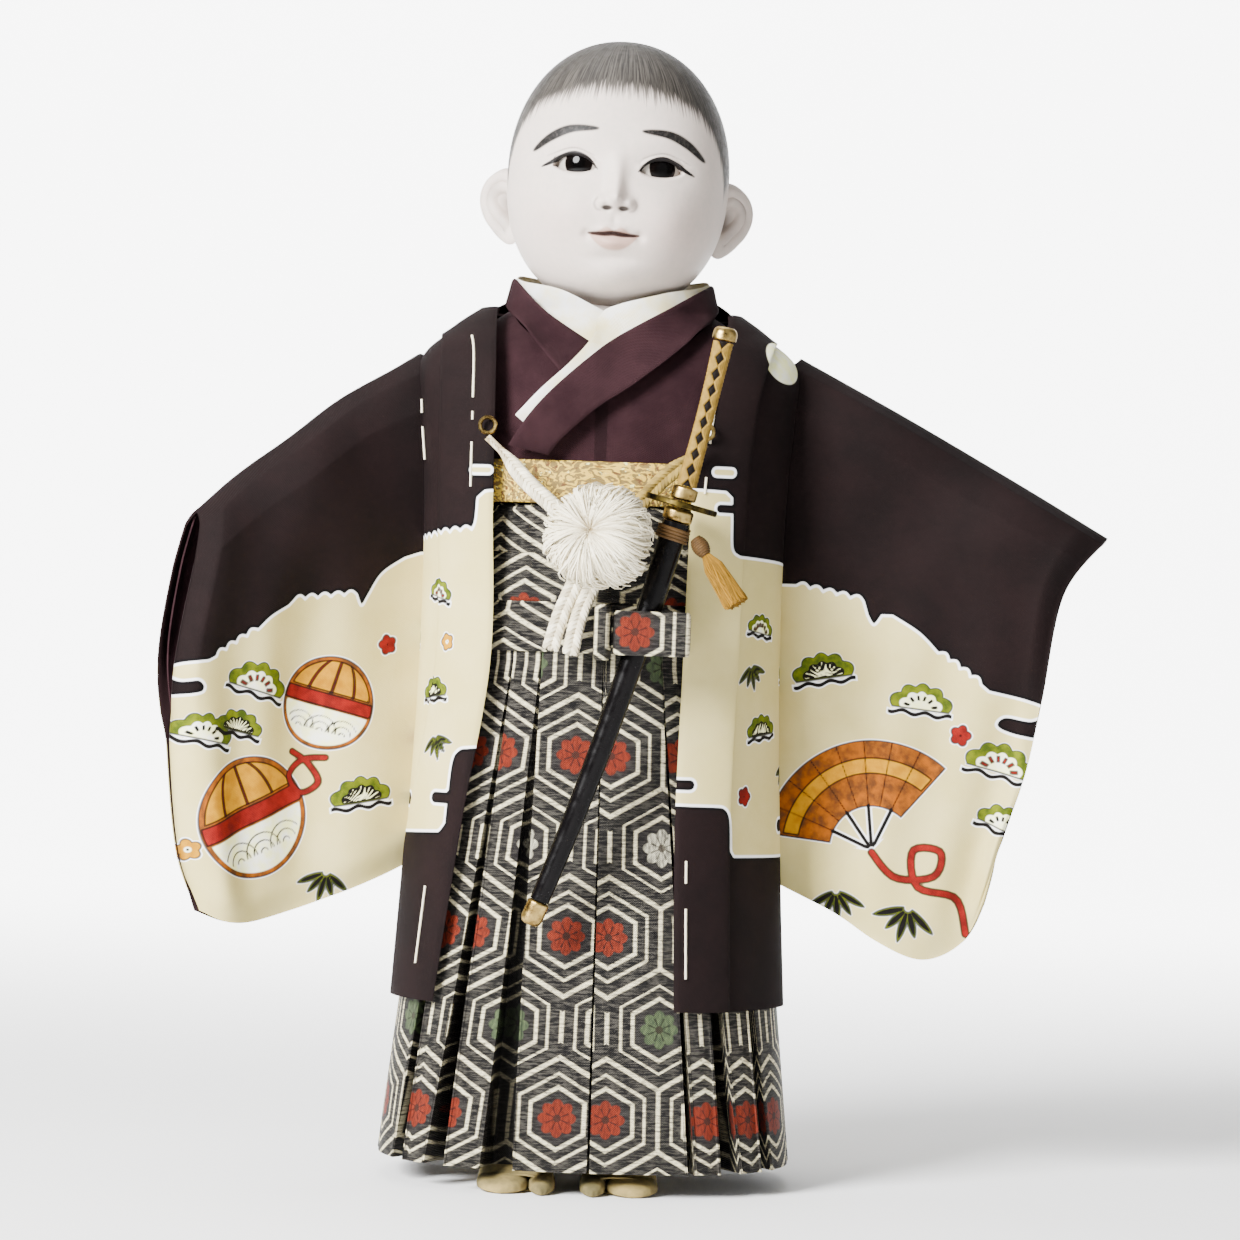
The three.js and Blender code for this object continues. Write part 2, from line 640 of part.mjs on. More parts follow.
function tabi(side) {
  const foot = loft(FOOT_SECTIONS.map((section) => footRing(section, SOLE_THICKNESS + SEAT_GAP)));
  const cuffRadius = ANKLE_RADIUS + SEAT_GAP + TABI_CUFF_WALL;
  const cuff = upright(cuffRadius, 14, TABI_CUFF_HEIGHT);
  const ankle = upright(ANKLE_RADIUS + SEAT_GAP, SOLE_THICKNESS + 6 - SEAT_GAP, TABI_CUFF_HEIGHT + 1);
  const split = new THREE.BoxGeometry(1.2, TABI_LENGTH * 0.3, 30);
  split.translate(-side * TABI_WIDTH * 0.14, HEEL_BACK - TABI_LENGTH, 12);
  return cut(join(foot, cuff), ankle, split);
}

function soleOutline() {
  const inset = 0.6;
  const right = FOOT_SECTIONS.map(([along, wide]) => [
    (wide * TABI_WIDTH) / 2 - inset,
    HEEL_BACK - along * TABI_LENGTH,
  ]);
  const left = right.map(([x, y]) => [-x, y]).reverse();
  const shape = new THREE.Shape([...right, ...left].map(([x, y]) => new THREE.Vector2(x, y)));
  return new THREE.ExtrudeGeometry(shape, { depth: SOLE_THICKNESS, bevelEnabled: false });
}

for (const [name, side] of [["left", 1], ["right", -1]]) {
  const stance = new THREE.Group();
  stance.position.x = legX(side);
  doll.add(stance);
  piece(`${name}_leg`, leg(), BODY_WOOD, stance);
  piece(`${name}_tabi`, tabi(side), TABI_CLOTH, stance);
  piece(`${name}_tabi_sole`, soleOutline(), WHITE_CLOTH, stance);
}

// Hakama: pleated front and back, tie turns, knot, bow and back board
// One pleat from crest to crest: [share of its width, share of its depth]
const PLEAT = [[0, 0], [0.26, 0.1], [0.56, 0.1], [0.8, 0], [0.9, 1], [0.95, 0.9]];

function pleatedPanel(firstTurn, lastTurn, pleats) {
  const columns = pleats * PLEAT.length;
  const face = (drop) => (u, v) => {
    const place = Math.round(u * columns);
    const [share, depth] = PLEAT[place % PLEAT.length];
    const turn = lerp(firstTurn, lastTurn, (Math.floor(place / PLEAT.length) + share) / pleats);
    const sunk = depth * lerp(PLEAT_DEPTH_HEM, PLEAT_DEPTH_WAIST, v);
    return wrapPoint(hakama, v, turn, -sunk - drop);
  };
  return between(face(0), face(HAKAMA_THICKNESS), columns, 5);
}

const HALF_TURN = Math.PI;
const SIDE_SEAM = radians(0.06);
piece(
  "hakama_front",
  pleatedPanel(-HALF_TURN / 2 + SIDE_SEAM, HALF_TURN / 2 - SIDE_SEAM, HAKAMA_PLEATS),
  SILVER_BROCADE,
);
piece(
  "hakama_back",
  pleatedPanel(HALF_TURN / 2 + SIDE_SEAM, 1.5 * HALF_TURN - SIDE_SEAM, HAKAMA_PLEATS - 2),
  SILVER_BROCADE,
);

// Tie wound round the waist, each turn a rounded band over the last.
function waistTie() {
  const low = stationAt(hakama, TIE_BOTTOM_HEIGHT);
  const high = stationAt(hakama, HAKAMA_TOP_HEIGHT - SEAT_GAP);
  const sweep = radians(112);
  const puff = (v) => 0.55 + 0.45 * Math.abs(Math.sin(Math.PI * TIE_TURNS * v)) ** 0.5;
  const face = (lift) => (u, v) => wrapPoint(hakama, lerp(low, high, v), lerp(-sweep, sweep, u), lift(v));
  const outside = face((v) => CLOTH_GAP + TIE_THICKNESS * puff(v));
  return between(outside, face(() => CLOTH_GAP), 14, 3 * TIE_TURNS);
}
piece("hakama_waist_tie", waistTie(), SILVER_BROCADE);

const obiLow = HAKAMA_TOP_HEIGHT + CLOTH_GAP;
const obiTop = obiLow + OBI_HEIGHT;
const obiBand = (lift) => (u, v) => {
  const t = stationAt(coat, lerp(obiLow, obiTop, v));
  return wrapPoint(coat, t, 2 * Math.PI * u, lift - KIMONO_INSET_WIDE, lift - KIMONO_INSET_DEEP);
};
piece("obi", between(obiBand(CLOTH_GAP + OBI_THICKNESS), obiBand(CLOTH_GAP), 28, 1, true), GOLD_BROCADE);

// Stiff board at the small of the back, between the obi and the coat.
function backBoard() {
  const low = obiTop - BACK_BOARD_HEIGHT + 2;
  const face = (lift) => (u, v) => {
    const half = (BACK_BOARD_WIDTH / 2) * lerp(1, 0.62, smoothstep(v, 0.3, 1));
    const t = stationAt(coat, low + BACK_BOARD_HEIGHT * v);
    return wrapPoint(coat, t, HALF_TURN - turnOf(coat, t, lerp(-half, half, u)), lift);
  };
  const outside = -COAT_THICKNESS - 2 * CLOTH_GAP;
  return between(face(outside), face(outside - BACK_BOARD_THICKNESS), 6, 3);
}
piece("hakama_back_board", backBoard(), SILVER_BROCADE);

// Kimono body with its neck opening and armholes
const kimonoLow = stationAt(coat, obiLow + 2);
const kimonoWall = (drop) => (u, v) =>
  wrapPoint(
    coat,
    lerp(kimonoLow, 0.985, v),
    2 * Math.PI * u,
    -KIMONO_INSET_WIDE - drop,
    -KIMONO_INSET_DEEP - drop,
  );

// The collar is drawn for a neck opening this wide and a chest this deep, and stretches with the real ones.
const DRAWN_COLLAR_HALF = 34;
const DRAWN_COLLAR_DROP = 57;
const collarSpread = COLLAR_HALF_WIDTH / DRAWN_COLLAR_HALF;
const collarHeight = (drop) => NECKLINE_HEIGHT - (drop * (NECKLINE_HEIGHT - obiTop)) / DRAWN_COLLAR_DROP;

function neckOpening() {
  const outline = [[-60, -26], [60, -26], [37, -1], [18, 13], [-1, 26], [-18, 13], [-37, -1]];
  const shape = new THREE.Shape(
    outline.map(([x, drop]) => new THREE.Vector2(x * collarSpread, collarHeight(drop))),
  );
  const wedge = new THREE.ExtrudeGeometry(shape, { depth: 2 * COAT_FRONT_DEPTH, bevelEnabled: false });
  return wedge.rotateX(Math.PI / 2);
}

const armhole = (side, height) =>
  bar(SHOULDER_STUB_RADIUS + 3, 40).rotateZ(Math.PI / 2).translate(side * 60, 0, armDrop(height));
piece(
  "kimono_body",
  cut(
    between(kimonoWall(0), kimonoWall(KIMONO_THICKNESS), 24, 6, true),
    neckOpening(),
    armhole(1, LEFT_SHOULDER_HEIGHT),
    armhole(-1, RIGHT_SHOULDER_HEIGHT),
  ),
  DARK_SILK,
);

// Collar bands, each spread between its upper and its lower edge.
// Edge points are [x, y, drop below the neckline]; from the fifth on, y comes from the chest under the band.
const NECK_POINTS = 4;
function collarBand(upper, lower, lift, thickness) {
  const path = (points) =>
    new THREE.CatmullRomCurve3(
      points.map(([x, y, drop]) => vec(x * collarSpread, y * collarSpread, collarHeight(drop))),
    );
  const [top, bottom] = [path(upper), path(lower)];
  const face = (out) => (u, v) => {
    const spot = top.getPoint(v).lerp(bottom.getPoint(v), u);
    const stand = vec(spot.x, spot.y, 0).normalize().multiplyScalar(out).add(spot);
    const onChest = smoothstep(v * (upper.length - 1), NECK_POINTS - 1, NECK_POINTS - 0.2);
    const lying = vec(spot.x, kimonoFront(spot.x, spot.z, out), spot.z);
    return stand.lerp(lying, onChest);
  };
  return between(face(lift + thickness), face(lift), 2, 20);
}

// Starting beside the centre back leaves the two halves apart.
const onSide = (points, side) => points.map(([x, y, drop]) => [side * Math.max(x, SEAT_GAP), y, drop]);
const neckTop = [[0, 27, -12], [24, 21, -12], [34, 3, -11], [34, -10, -9]];
const neckLow = [[0, 24, -1.5], [24, 17, -1.5], [33.5, 2, -1.5], [35.5, -12, 0]];
const leftUpper = [
  ...neckTop,
  [19, -24, 1.5], [3.4, -33, 11.5], [-7.1, -38, 18.4],
  [-19.4, -43, 27.8], [-28, -45, 37], [-35, -46, 48],
];
const leftLower = [
  ...neckLow,
  [28, -26, 12], [10, -38, 27.5], [-3, -43, 36.5],
  [-11, -45, 43.5], [-17, -46, 49.5], [-21, -47, 55],
];
const rightUpper = onSide([...neckTop, [19, -24, 1.5], [5, -33, 10.5]], -1);
const rightLower = onSide([...neckLow, [28, -26, 12], [10, -38, 27]], -1);

// The under-collar stands a little higher than the kimono's collar.
const underTop = [[0, 26, -14.5], [23, 20, -14.5], [33.6, 4, -12.6], [33.6, -9, -9.8]];
const underLow = neckLow.map(([x, y, drop]) => [x, y, drop - 1]);
const underLeftUpper = [
  ...underTop,
  [17, -24, -2], [1, -31, 5.5], [-8, -36, 14.5],
  [-19.4, -43, 25.5], [-28, -45, 34.8], [-35, -46, 45.6],
];
const underLeftLower = [...underLow, ...leftLower.slice(NECK_POINTS).map(([x, y, drop]) => [x, y, drop - 4])];
const underRightUpper = onSide([...underTop, [17, -24, -2], [3, -31, 4.5]], -1);
const underRightLower = onSide([...underLow, [27, -26, 7], [10, -36, 21]], -1);

// The bands lie over one another in this order, from the kimono outwards.
const collarLayers = [
  ["under_collar_right", underRightUpper, underRightLower, UNDER_COLLAR_THICKNESS, WHITE_CLOTH],
  ["under_collar_left", underLeftUpper, underLeftLower, UNDER_COLLAR_THICKNESS, WHITE_CLOTH],
  ["kimono_collar_right", rightUpper, rightLower, COLLAR_THICKNESS, DARK_SILK],
  ["kimono_collar_left", leftUpper, leftLower, COLLAR_THICKNESS, DARK_SILK],
];
let collarFloor = CLOTH_GAP;
for (const [name, upper, lower, thickness, material] of collarLayers) {
  const onLeft = name.endsWith("left");
  const held = (points) => (onLeft ? [[SEAT_GAP, ...points[0].slice(1)], ...points.slice(1)] : points);
  piece(name, collarBand(held(upper), held(lower), collarFloor, thickness), material);
  collarFloor += thickness + CLOTH_GAP;
}

// Coat: fronts and back part at the side seam, and wider at the armhole
const COAT_ROWS = 14;
const BACK_COLUMNS = 12;
const armholeBottom = SHOULDER_HEIGHT - ARMHOLE_LENGTH;
const sideTurn = (t) => {
  const height = through(coat.height, t);
  const opening = smoothstep(height, armholeBottom, armholeBottom + 14);
  const closing = smoothstep(height, SHOULDER_HEIGHT - 6, SHOULDER_HEIGHT + 5);
  return lerp(SIDE_SEAM, radians(ARMHOLE_TURN), opening * (1 - closing));
};

// Turns across a front: columns over the collar's width first, then on to the side seam.
const COLLAR_COLUMNS = 2;
const SIDE_COLUMNS = 4;
function collarTurn(edge, side, t, share) {
  const inner = through(edge, t);
  const outer = Math.min(Math.abs(inner) + COAT_COLLAR_WIDTH, through(coat.width, t) - 0.4);
  const last = Math.min(Math.abs(turnOf(coat, t, outer)), radians(80));
  return lerp(turnOf(coat, t, inner), side * last, share);
}

function coatFront(edge, side) {
  const columns = COLLAR_COLUMNS + SIDE_COLUMNS;
  const face = (drop) => (u, t) => {
    const column = Math.round(u * columns);
    const seam = collarTurn(edge, side, t, Math.min(1, column / COLLAR_COLUMNS));
    const rest = Math.max(0, column - COLLAR_COLUMNS) / SIDE_COLUMNS;
    return wrapPoint(coat, t, lerp(seam, side * (HALF_TURN / 2 - sideTurn(t)), rest), -drop);
  };
  return between(face(0), face(COAT_THICKNESS), columns, COAT_ROWS);
}
piece("coat_left_front", coatFront(LEFT_EDGE, 1), COAT_SILK);
piece("coat_right_front", coatFront(RIGHT_EDGE, -1), COAT_SILK);

// The back falls in soft folds that open towards the hem.
const coatBack = (drop) => (u, t) => {
  const start = HALF_TURN / 2 + sideTurn(t);
  const wave = 0.5 - 0.5 * Math.cos(2 * Math.PI * COAT_FOLDS * u);
  const fold = COAT_FOLD_DEPTH * wave * (1 - smoothstep(t, 0, 0.6));
  return wrapPoint(coat, t, lerp(start, 2 * HALF_TURN - start, u), fold - drop);
};
piece("coat_back", between(coatBack(0), coatBack(COAT_THICKNESS), BACK_COLUMNS, COAT_ROWS), COAT_SILK);

function coatCollar(edge, side) {
  const face = (lift) => (u, t) => wrapPoint(coat, t, collarTurn(edge, side, t, u), lift);
  return between(face(CLOTH_GAP + COAT_COLLAR_THICKNESS), face(CLOTH_GAP), COLLAR_COLUMNS, COAT_ROWS);
}
piece("coat_left_collar", coatCollar(LEFT_EDGE, 1), COAT_SILK);
piece("coat_right_collar", coatCollar(RIGHT_EDGE, -1), COAT_SILK);

const NAPE_ROWS = 3;
const napeBand = (lift) => (u, v) => {
  const t = 1 - ((1 - v) * NAPE_ROWS) / COAT_ROWS;
  const start = HALF_TURN / 2 + sideTurn(t);
  const share = lerp(1 / BACK_COLUMNS, 1 - 1 / BACK_COLUMNS, u);
  return wrapPoint(coat, t, lerp(start, 2 * HALF_TURN - start, share), lift);
};
piece(
  "coat_neck_collar",
  between(napeBand(CLOTH_GAP + COAT_COLLAR_THICKNESS), napeBand(CLOTH_GAP), BACK_COLUMNS - 2, NAPE_ROWS),
  COAT_SILK,
);

// Sleeves and arms, each in a frame that hangs from the top of the shoulder seam, x along the arm
const sleeveOutline = {
  left: {
    top: [[0, 0], [40, -21], [80, -43], [115, -63]],
    outer: [[115, -63], [99.5, -84], [93, -123], [88, -150], [81, -172], [74, -198]],
    bottom: [[0, -191], [17, -202], [36, -214], [53, -220], [67, -213], [74, -198]],
    inner: [[0, 0], [0, -60], [0, -130], [0, -191]],
  },
  right: {
    top: [[0, 0], [30, -18], [60, -40], [87, -62]],
    outer: [[87, -62], [95.6, -112], [93.5, -145], [88.4, -185], [80, -206]],
    bottom: [[5, -186], [28, -200], [54, -209], [70, -210], [80, -206]],
    inner: [[0, 0], [1, -60], [3, -130], [5, -186]],
  },
};

function sleeveSheet(outline) {
  const curve = (points) => new THREE.SplineCurve(points.map(([x, z]) => new THREE.Vector2(x, z)));
  const [top, outer, bottom, inner] = ["top", "outer", "bottom", "inner"].map((k) => curve(outline[k]));
  const inside = (u, v) => {
    const sides = inner.getPoint(v).lerp(outer.getPoint(v), u);
    const ends = top.getPoint(u).lerp(bottom.getPoint(u), v);
    const near = top.getPoint(0).lerp(bottom.getPoint(0), v);
    const far = top.getPoint(1).lerp(bottom.getPoint(1), v);
    return sides.add(ends).sub(near.lerp(far, u));
  };
  return (u, v) => {
    const held = clamp(u, 0, 1);
    const spot = inside(held, v);
    const step = inside(clamp(held + 0.05, 0, 1), v).sub(inside(clamp(held - 0.05, 0, 1), v));
    return spot.addScaledVector(step, (u - held) * 10);
  };
}

// Half depth of the bag: full round the arm, flat towards the bottom edge.
function bagHalf(v) {
  const rise = Math.sin((Math.PI / 2) * Math.min(v / 0.07, 1));
  const fall = 1 - smoothstep(v, 0.16, 0.62);
  return lerp(SLEEVE_EDGE_HALF_DEPTH, SLEEVE_HALF_DEPTH, rise * fall);
}

const bagFold = (u, v) => SLEEVE_FOLD_DEPTH * Math.sin(3 * Math.PI * u + 0.6) * smoothstep(v, 0.15, 0.75);

// Grid lines that every bag of a sleeve shares, so that nested bags keep their gap.
const BAG_U = [0.15, 0.3, 0.45, 0.6, 0.75, 0.88];
const BAG_V = [0.045, 0.08, 0.13, 0.22, 0.35, 0.5, 0.65, 0.82];
const gridLines = (first, last, lines) => [first, ...lines.filter((k) => k > first && k < last), last];

function bag(sheet, [u0, u1], [v0, v1], grow) {
  const us = gridLines(u0, u1, BAG_U);
  const vs = gridLines(v0, v1, BAG_V);
  const face = (side) => (a, b) => {
    const u = us[Math.round(a * (us.length - 1))];
    const v = vs[Math.round(b * (vs.length - 1))];
    const spot = sheet(u, v);
    return vec(spot.x, bagFold(clamp(u, 0, 1), v) + side * (bagHalf(v) + grow), spot.y);
  };
  return between(face(-1), face(1), us.length - 1, vs.length - 1);
}

// Limb of round section along the arm, from one distance to another.
function limb(start, end, radii, steps = 10) {
  const profile = [new THREE.Vector2(0, start)];
  radii.forEach((radius, i) => {
    const along = lerp(start, end, i / (radii.length - 1));
    profile.push(new THREE.Vector2(radius, along));
  });
  profile.push(new THREE.Vector2(0, end));
  return new THREE.LatheGeometry(profile, steps).rotateZ(-Math.PI / 2);
}

function forearmWithHand() {
  const wrist = UPPER_ARM_LENGTH + SEAT_GAP + FOREARM_LENGTH;
  const arm = limb(UPPER_ARM_LENGTH + SEAT_GAP, wrist, [7, 7.6, 6.6, 5]);
  const palm = new THREE.SphereGeometry(1, 9, 6).scale(HAND_LENGTH / 2 + 3, 3.6, 6.4);
  palm.translate(wrist + HAND_LENGTH / 2 - 3, 0, 0);
  const thumb = new THREE.SphereGeometry(1, 8, 5).scale(6, 2, 2).rotateY(radians(-24));
  thumb.translate(wrist + HAND_LENGTH * 0.42, -2, 4.2);
  return join(arm, palm, thumb);
}

function addArm(name, side, shoulderHeight, forward) {
  const hinge = new THREE.Group();
  hinge.position.set(side * (COAT_HALF_WIDTH + CLOTH_GAP), 0, shoulderHeight);
  hinge.rotation.z = side > 0 ? -radians(forward) : Math.PI + radians(forward);
  doll.add(hinge);
  const outline = sleeveOutline[name];
  const sheet = sleeveSheet(outline);
  const slope = Math.atan2(outline.top.at(-1)[1], outline.top.at(-1)[0]);
  const along = (geometry) =>
    geometry.rotateY(-slope).translate(ARM_DROP * Math.sin(slope), 0, -ARM_DROP * Math.cos(slope));
  // Everything on the body's side of the seam, square to the body.
  const seamCut = (margin) =>
    new THREE.BoxGeometry(80, 160, 600).translate(margin - 40, 0, 0).rotateZ(radians(side * forward));
  const rootStart = 7;
  const girths = [0.5, 0.92, 1, 0.95, 0.82].map((share) => share * ARM_RADIUS);
  const upperArm = limb(rootStart - ARM_RADIUS, UPPER_ARM_LENGTH, girths);
  piece(`${name}_upper_arm`, along(upperArm), BODY_CLOTH, hinge);
  piece(`${name}_forearm`, along(forearmWithHand()), SKIN, hinge);
  const armTunnel = along(limb(-30, 160, [ARM_RADIUS + CLOTH_GAP, ARM_RADIUS + CLOTH_GAP]));
  const lining = bag(sheet, [-0.06, 0.93], [0.022, 0.955], -CLOTH_GAP);
  piece(`${name}_kimono_sleeve`, cut(lining, armTunnel, seamCut(1)), DARK_SILK, hinge);
  const hollow = bag(sheet, [-0.16, 0.965], [0.012, 0.985], 0);
  const cuff = bag(sheet, [0.6, 1.1], [0.012, 0.5], 0);
  const outside = bag(sheet, [-0.1, 1], [0, 1], SLEEVE_WALL);
  piece(`${name}_coat_sleeve`, cut(outside, hollow, cuff, seamCut(0)), COAT_SILK, hinge);
}
addArm("left", 1, LEFT_SHOULDER_HEIGHT, LEFT_ARM_FORWARD);
addArm("right", -1, RIGHT_SHOULDER_HEIGHT, RIGHT_ARM_FORWARD);

// Sword: every piece is bent on the same arc, so the blade slides out along it
function coatFace(x, z, lift) {
  const t = stationAt(coat, z);
  return wrapPoint(coat, t, turnOf(coat, t, x), lift).y;
}
const collarLift = CLOTH_GAP + COAT_COLLAR_THICKNESS;
// The left tie cord passes between the coat and the guard.
const GUARD_CORD_GAP = 2.4;
const guardStandoff = TIE_CORD_DIAMETER + GUARD_CORD_GAP;
const guardY = coatFace(GUARD_X, GUARD_HEIGHT, collarLift) - GUARD_RADIUS - guardStandoff;
const sword = new THREE.Group();
sword.position.set(GUARD_X, guardY, GUARD_HEIGHT);
sword.rotation.x = radians(SWORD_TILT);
doll.add(sword);

// Ring across the arc at a distance below the guard; width lies in the plane of the arc.
function arcRing(distance, width, breadth, sides) {
  const lean = radians(SWORD_LEAN) + distance / SWORD_RADIUS;
  const centre = vec(
    SWORD_RADIUS * (Math.cos(lean) - Math.cos(radians(SWORD_LEAN))),
    0,
    -SWORD_RADIUS * (Math.sin(lean) - Math.sin(radians(SWORD_LEAN))),
  );
  const outward = vec(Math.cos(lean), 0, -Math.sin(lean));
  return Array.from({ length: sides }, (_, i) => {
    const angle = (2 * Math.PI * i) / sides;
    return centre.clone()
      .addScaledVector(outward, (width / 2) * Math.cos(angle))
      .add(vec(0, (breadth / 2) * Math.sin(angle), 0));
  });
}

// Solid along the arc; stations are [distance, width, breadth].
const arcSolid = (stations, sides = 12) => loft(stations.map((s) => arcRing(...s, sides)));

const SCABBARD_START = GUARD_THICKNESS / 2 + SEAT_GAP;
const capStart = SCABBARD_START + SCABBARD_LENGTH - END_CAP_LENGTH;
const scabbardWidth = (distance) =>
  SCABBARD_WIDTH * lerp(1, SCABBARD_TAPER, (distance - SCABBARD_START) / SCABBARD_LENGTH);
const scabbardBreadth = (distance) => (scabbardWidth(distance) * SCABBARD_BREADTH) / SCABBARD_WIDTH;
const runs = (from, to, count) => Array.from({ length: count + 1 }, (_, i) => lerp(from, to, i / count));
const MOUTH_LENGTH = 5;
const mouthEnd = SCABBARD_START + MOUTH_LENGTH;
const channel = arcSolid(
  runs(-2, SCABBARD_START + BLADE_LENGTH + 2, 8).map((s) => [
    s, BLADE_WIDTH + 2 * BLADE_CLEARANCE, BLADE_THICKNESS + 2.2 * BLADE_CLEARANCE,
  ]),
  12,
);
const collarSocket = arcSolid(
  [-1, SCABBARD_START + BLADE_COLLAR_LENGTH + SEAT_GAP].map((s) => [
    s, BLADE_WIDTH + BLADE_COLLAR_LIP + 2 * SEAT_GAP, BLADE_THICKNESS + BLADE_COLLAR_LIP + 2 * SEAT_GAP,
  ]),
  12,
);
const scabbardBody = arcSolid(
  runs(mouthEnd + SEAT_GAP, capStart - SEAT_GAP, 7).map((s) => [s, scabbardWidth(s), scabbardBreadth(s)]),
);
piece("scabbard", cut(scabbardBody, channel, collarSocket), LACQUER, sword);
piece(
  "scabbard_mouth",
  cut(
    arcSolid(
      runs(SCABBARD_START, mouthEnd, 2).map((s) => [
        s, SCABBARD_WIDTH + FITTING_LIP, SCABBARD_BREADTH + FITTING_LIP,
      ]),
    ),
    channel,
    collarSocket,
  ),
  BRASS,
  sword,
);
const capEnd = SCABBARD_START + SCABBARD_LENGTH;
piece(
  "scabbard_end_cap",
  arcSolid([
    [capStart, scabbardWidth(capStart) + FITTING_LIP, scabbardBreadth(capStart) + FITTING_LIP],
    [capEnd - 2, scabbardWidth(capEnd) + FITTING_LIP, scabbardBreadth(capEnd) + FITTING_LIP],
    [capEnd, scabbardWidth(capEnd) - 2 * FITTING_LIP, scabbardBreadth(capEnd) - 2 * FITTING_LIP],
  ]),
  BRASS,
  sword,
);

// Blade with its collar, guard, ferrule, handle core, wrap and pommel
const bladeStart = GUARD_THICKNESS / 2 + 2 * SEAT_GAP;
const collarEnd = bladeStart + BLADE_COLLAR_LENGTH - 1;
piece(
  "sword_blade",
  arcSolid([
    ...runs(collarEnd + SEAT_GAP, BLADE_LENGTH - 10, 8).map((s) => [s, BLADE_WIDTH, BLADE_THICKNESS]),
    [BLADE_LENGTH, 1.2, 0.6],
  ], 8),
  STEEL,
  sword,
);
piece(
  "sword_blade_collar",
  arcSolid(
    [bladeStart, collarEnd].map((s) => [
      s, BLADE_WIDTH + BLADE_COLLAR_LIP, BLADE_THICKNESS + BLADE_COLLAR_LIP,
    ]),
  ),
  BRASS,
  sword,
);
piece(
  "sword_guard",
  arcSolid([
    [-GUARD_THICKNESS / 2, 2 * GUARD_RADIUS - 1, 2 * GUARD_RADIUS - 1],
    [0, 2 * GUARD_RADIUS, 2 * GUARD_RADIUS],
    [GUARD_THICKNESS / 2, 2 * GUARD_RADIUS - 1, 2 * GUARD_RADIUS - 1],
  ], 24),
  BRASS,
  sword,
);
const ferruleStart = -GUARD_THICKNESS / 2 - SEAT_GAP;
const ferruleEnd = ferruleStart - FERRULE_LENGTH;
const gripStart = ferruleEnd - SEAT_GAP;
const gripEnd = gripStart - HANDLE_LENGTH + FERRULE_LENGTH + POMMEL_LENGTH;
piece(
  "sword_ferrule",
  arcSolid([
    [ferruleStart, HANDLE_WIDTH + 2, HANDLE_BREADTH + 2],
    [ferruleEnd, HANDLE_WIDTH + 1.4, HANDLE_BREADTH + 1.4],
  ]),
  BRASS,
  sword,
);
const gripRuns = runs(gripStart, gripEnd, 5);
const waist = (s) => 0.9 * Math.sin((Math.PI * (s - gripStart)) / (gripEnd - gripStart));
const gripStation = (grow) => (s) => [s, HANDLE_WIDTH - waist(s) + grow, HANDLE_BREADTH - waist(s) + grow];
piece("sword_handle", arcSolid(gripRuns.map(gripStation(-2 * WRAP_THICKNESS - SEAT_GAP))), RAY_SKIN, sword);

// Crossed wrap: a sleeve with a row of diamond openings on its front and back.
function handleWrap() {
  const sleeve = arcSolid(gripRuns.map(gripStation(0)));
  const boreRuns = [gripStart + 1, ...gripRuns.slice(1, -1), gripEnd - 1];
  const bore = arcSolid(boreRuns.map(gripStation(-2 * WRAP_THICKNESS)));
  const pitch = (gripEnd - gripStart) / WRAP_DIAMONDS;
  const diamonds = Array.from({ length: WRAP_DIAMONDS }, (_, i) => {
    const half = Math.abs(pitch) * 0.32;
    const diamond = bar(half, HANDLE_BREADTH * 2, 4).scale(0.62, 1, 1);
    const [front] = arcRing(gripStart + pitch * (i + 0.5), 0, 0, 1);
    const lean = radians(SWORD_LEAN) + (gripStart + pitch * (i + 0.5)) / SWORD_RADIUS;
    return diamond.rotateY(lean).translate(front.x, 0, front.z);
  });
  return cut(sleeve, bore, ...diamonds);
}
piece("sword_handle_wrap", handleWrap(), WRAP_SILK, sword);
const pommelStart = gripEnd - SEAT_GAP;
piece(
  "sword_pommel",
  arcSolid([
    [pommelStart, HANDLE_WIDTH + 1, HANDLE_BREADTH + 1],
    [pommelStart - POMMEL_LENGTH * 0.6, HANDLE_WIDTH + 1, HANDLE_BREADTH + 1],
    [pommelStart - POMMEL_LENGTH, HANDLE_WIDTH - 2.5, HANDLE_BREADTH - 2.5],
  ]),
  BRASS,
  sword,
);

// Cord wound round the scabbard under its mouth, which carries the tassel
const WOUND_AT = mouthEnd + 4;
const WOUND_CORD = 1.8;
const WOUND_HALF = 2.4;
const WOUND_GROOVE = 0.9;
const woundRing = (grow) => (s, i) => {
  const rise = grow - (i % 2 ? 0 : WOUND_GROOVE);
  return [s, scabbardWidth(s) + rise, scabbardBreadth(s) + rise];
};
piece(
  "scabbard_cord",
  cut(
    arcSolid(runs(WOUND_AT - WOUND_HALF, WOUND_AT + WOUND_HALF, 4).map(woundRing(2 * WOUND_CORD))),
    arcSolid(
      [WOUND_AT - 2 * WOUND_HALF, WOUND_AT + 2 * WOUND_HALF].map((s) => [
        s, scabbardWidth(s) + 2 * SEAT_GAP, scabbardBreadth(s) + 2 * SEAT_GAP,
      ]),
    ),
  ),
  TASSEL_SILK,
  sword,
);

// Knot and bow of the hakama tie; the bow's loop holds the scabbard
const bowDrop = GUARD_HEIGHT - TIE_BOTTOM_HEIGHT - BOW_HEIGHT / 2;
const [bowCentre] = arcRing(bowDrop / Math.cos(radians(SWORD_LEAN + 2)), 0, 0, 1);
sword.updateMatrix();
bowCentre.applyMatrix4(sword.matrix);
const BOW_SCABBARD_GAP = 3.4;
const bowHalfDepth = SCABBARD_BREADTH / 2 + BOW_SCABBARD_GAP + BOW_CLOTH;
const bowLeft = bowCentre.x - SCABBARD_WIDTH / 2 - BOW_CLOTH - 3;

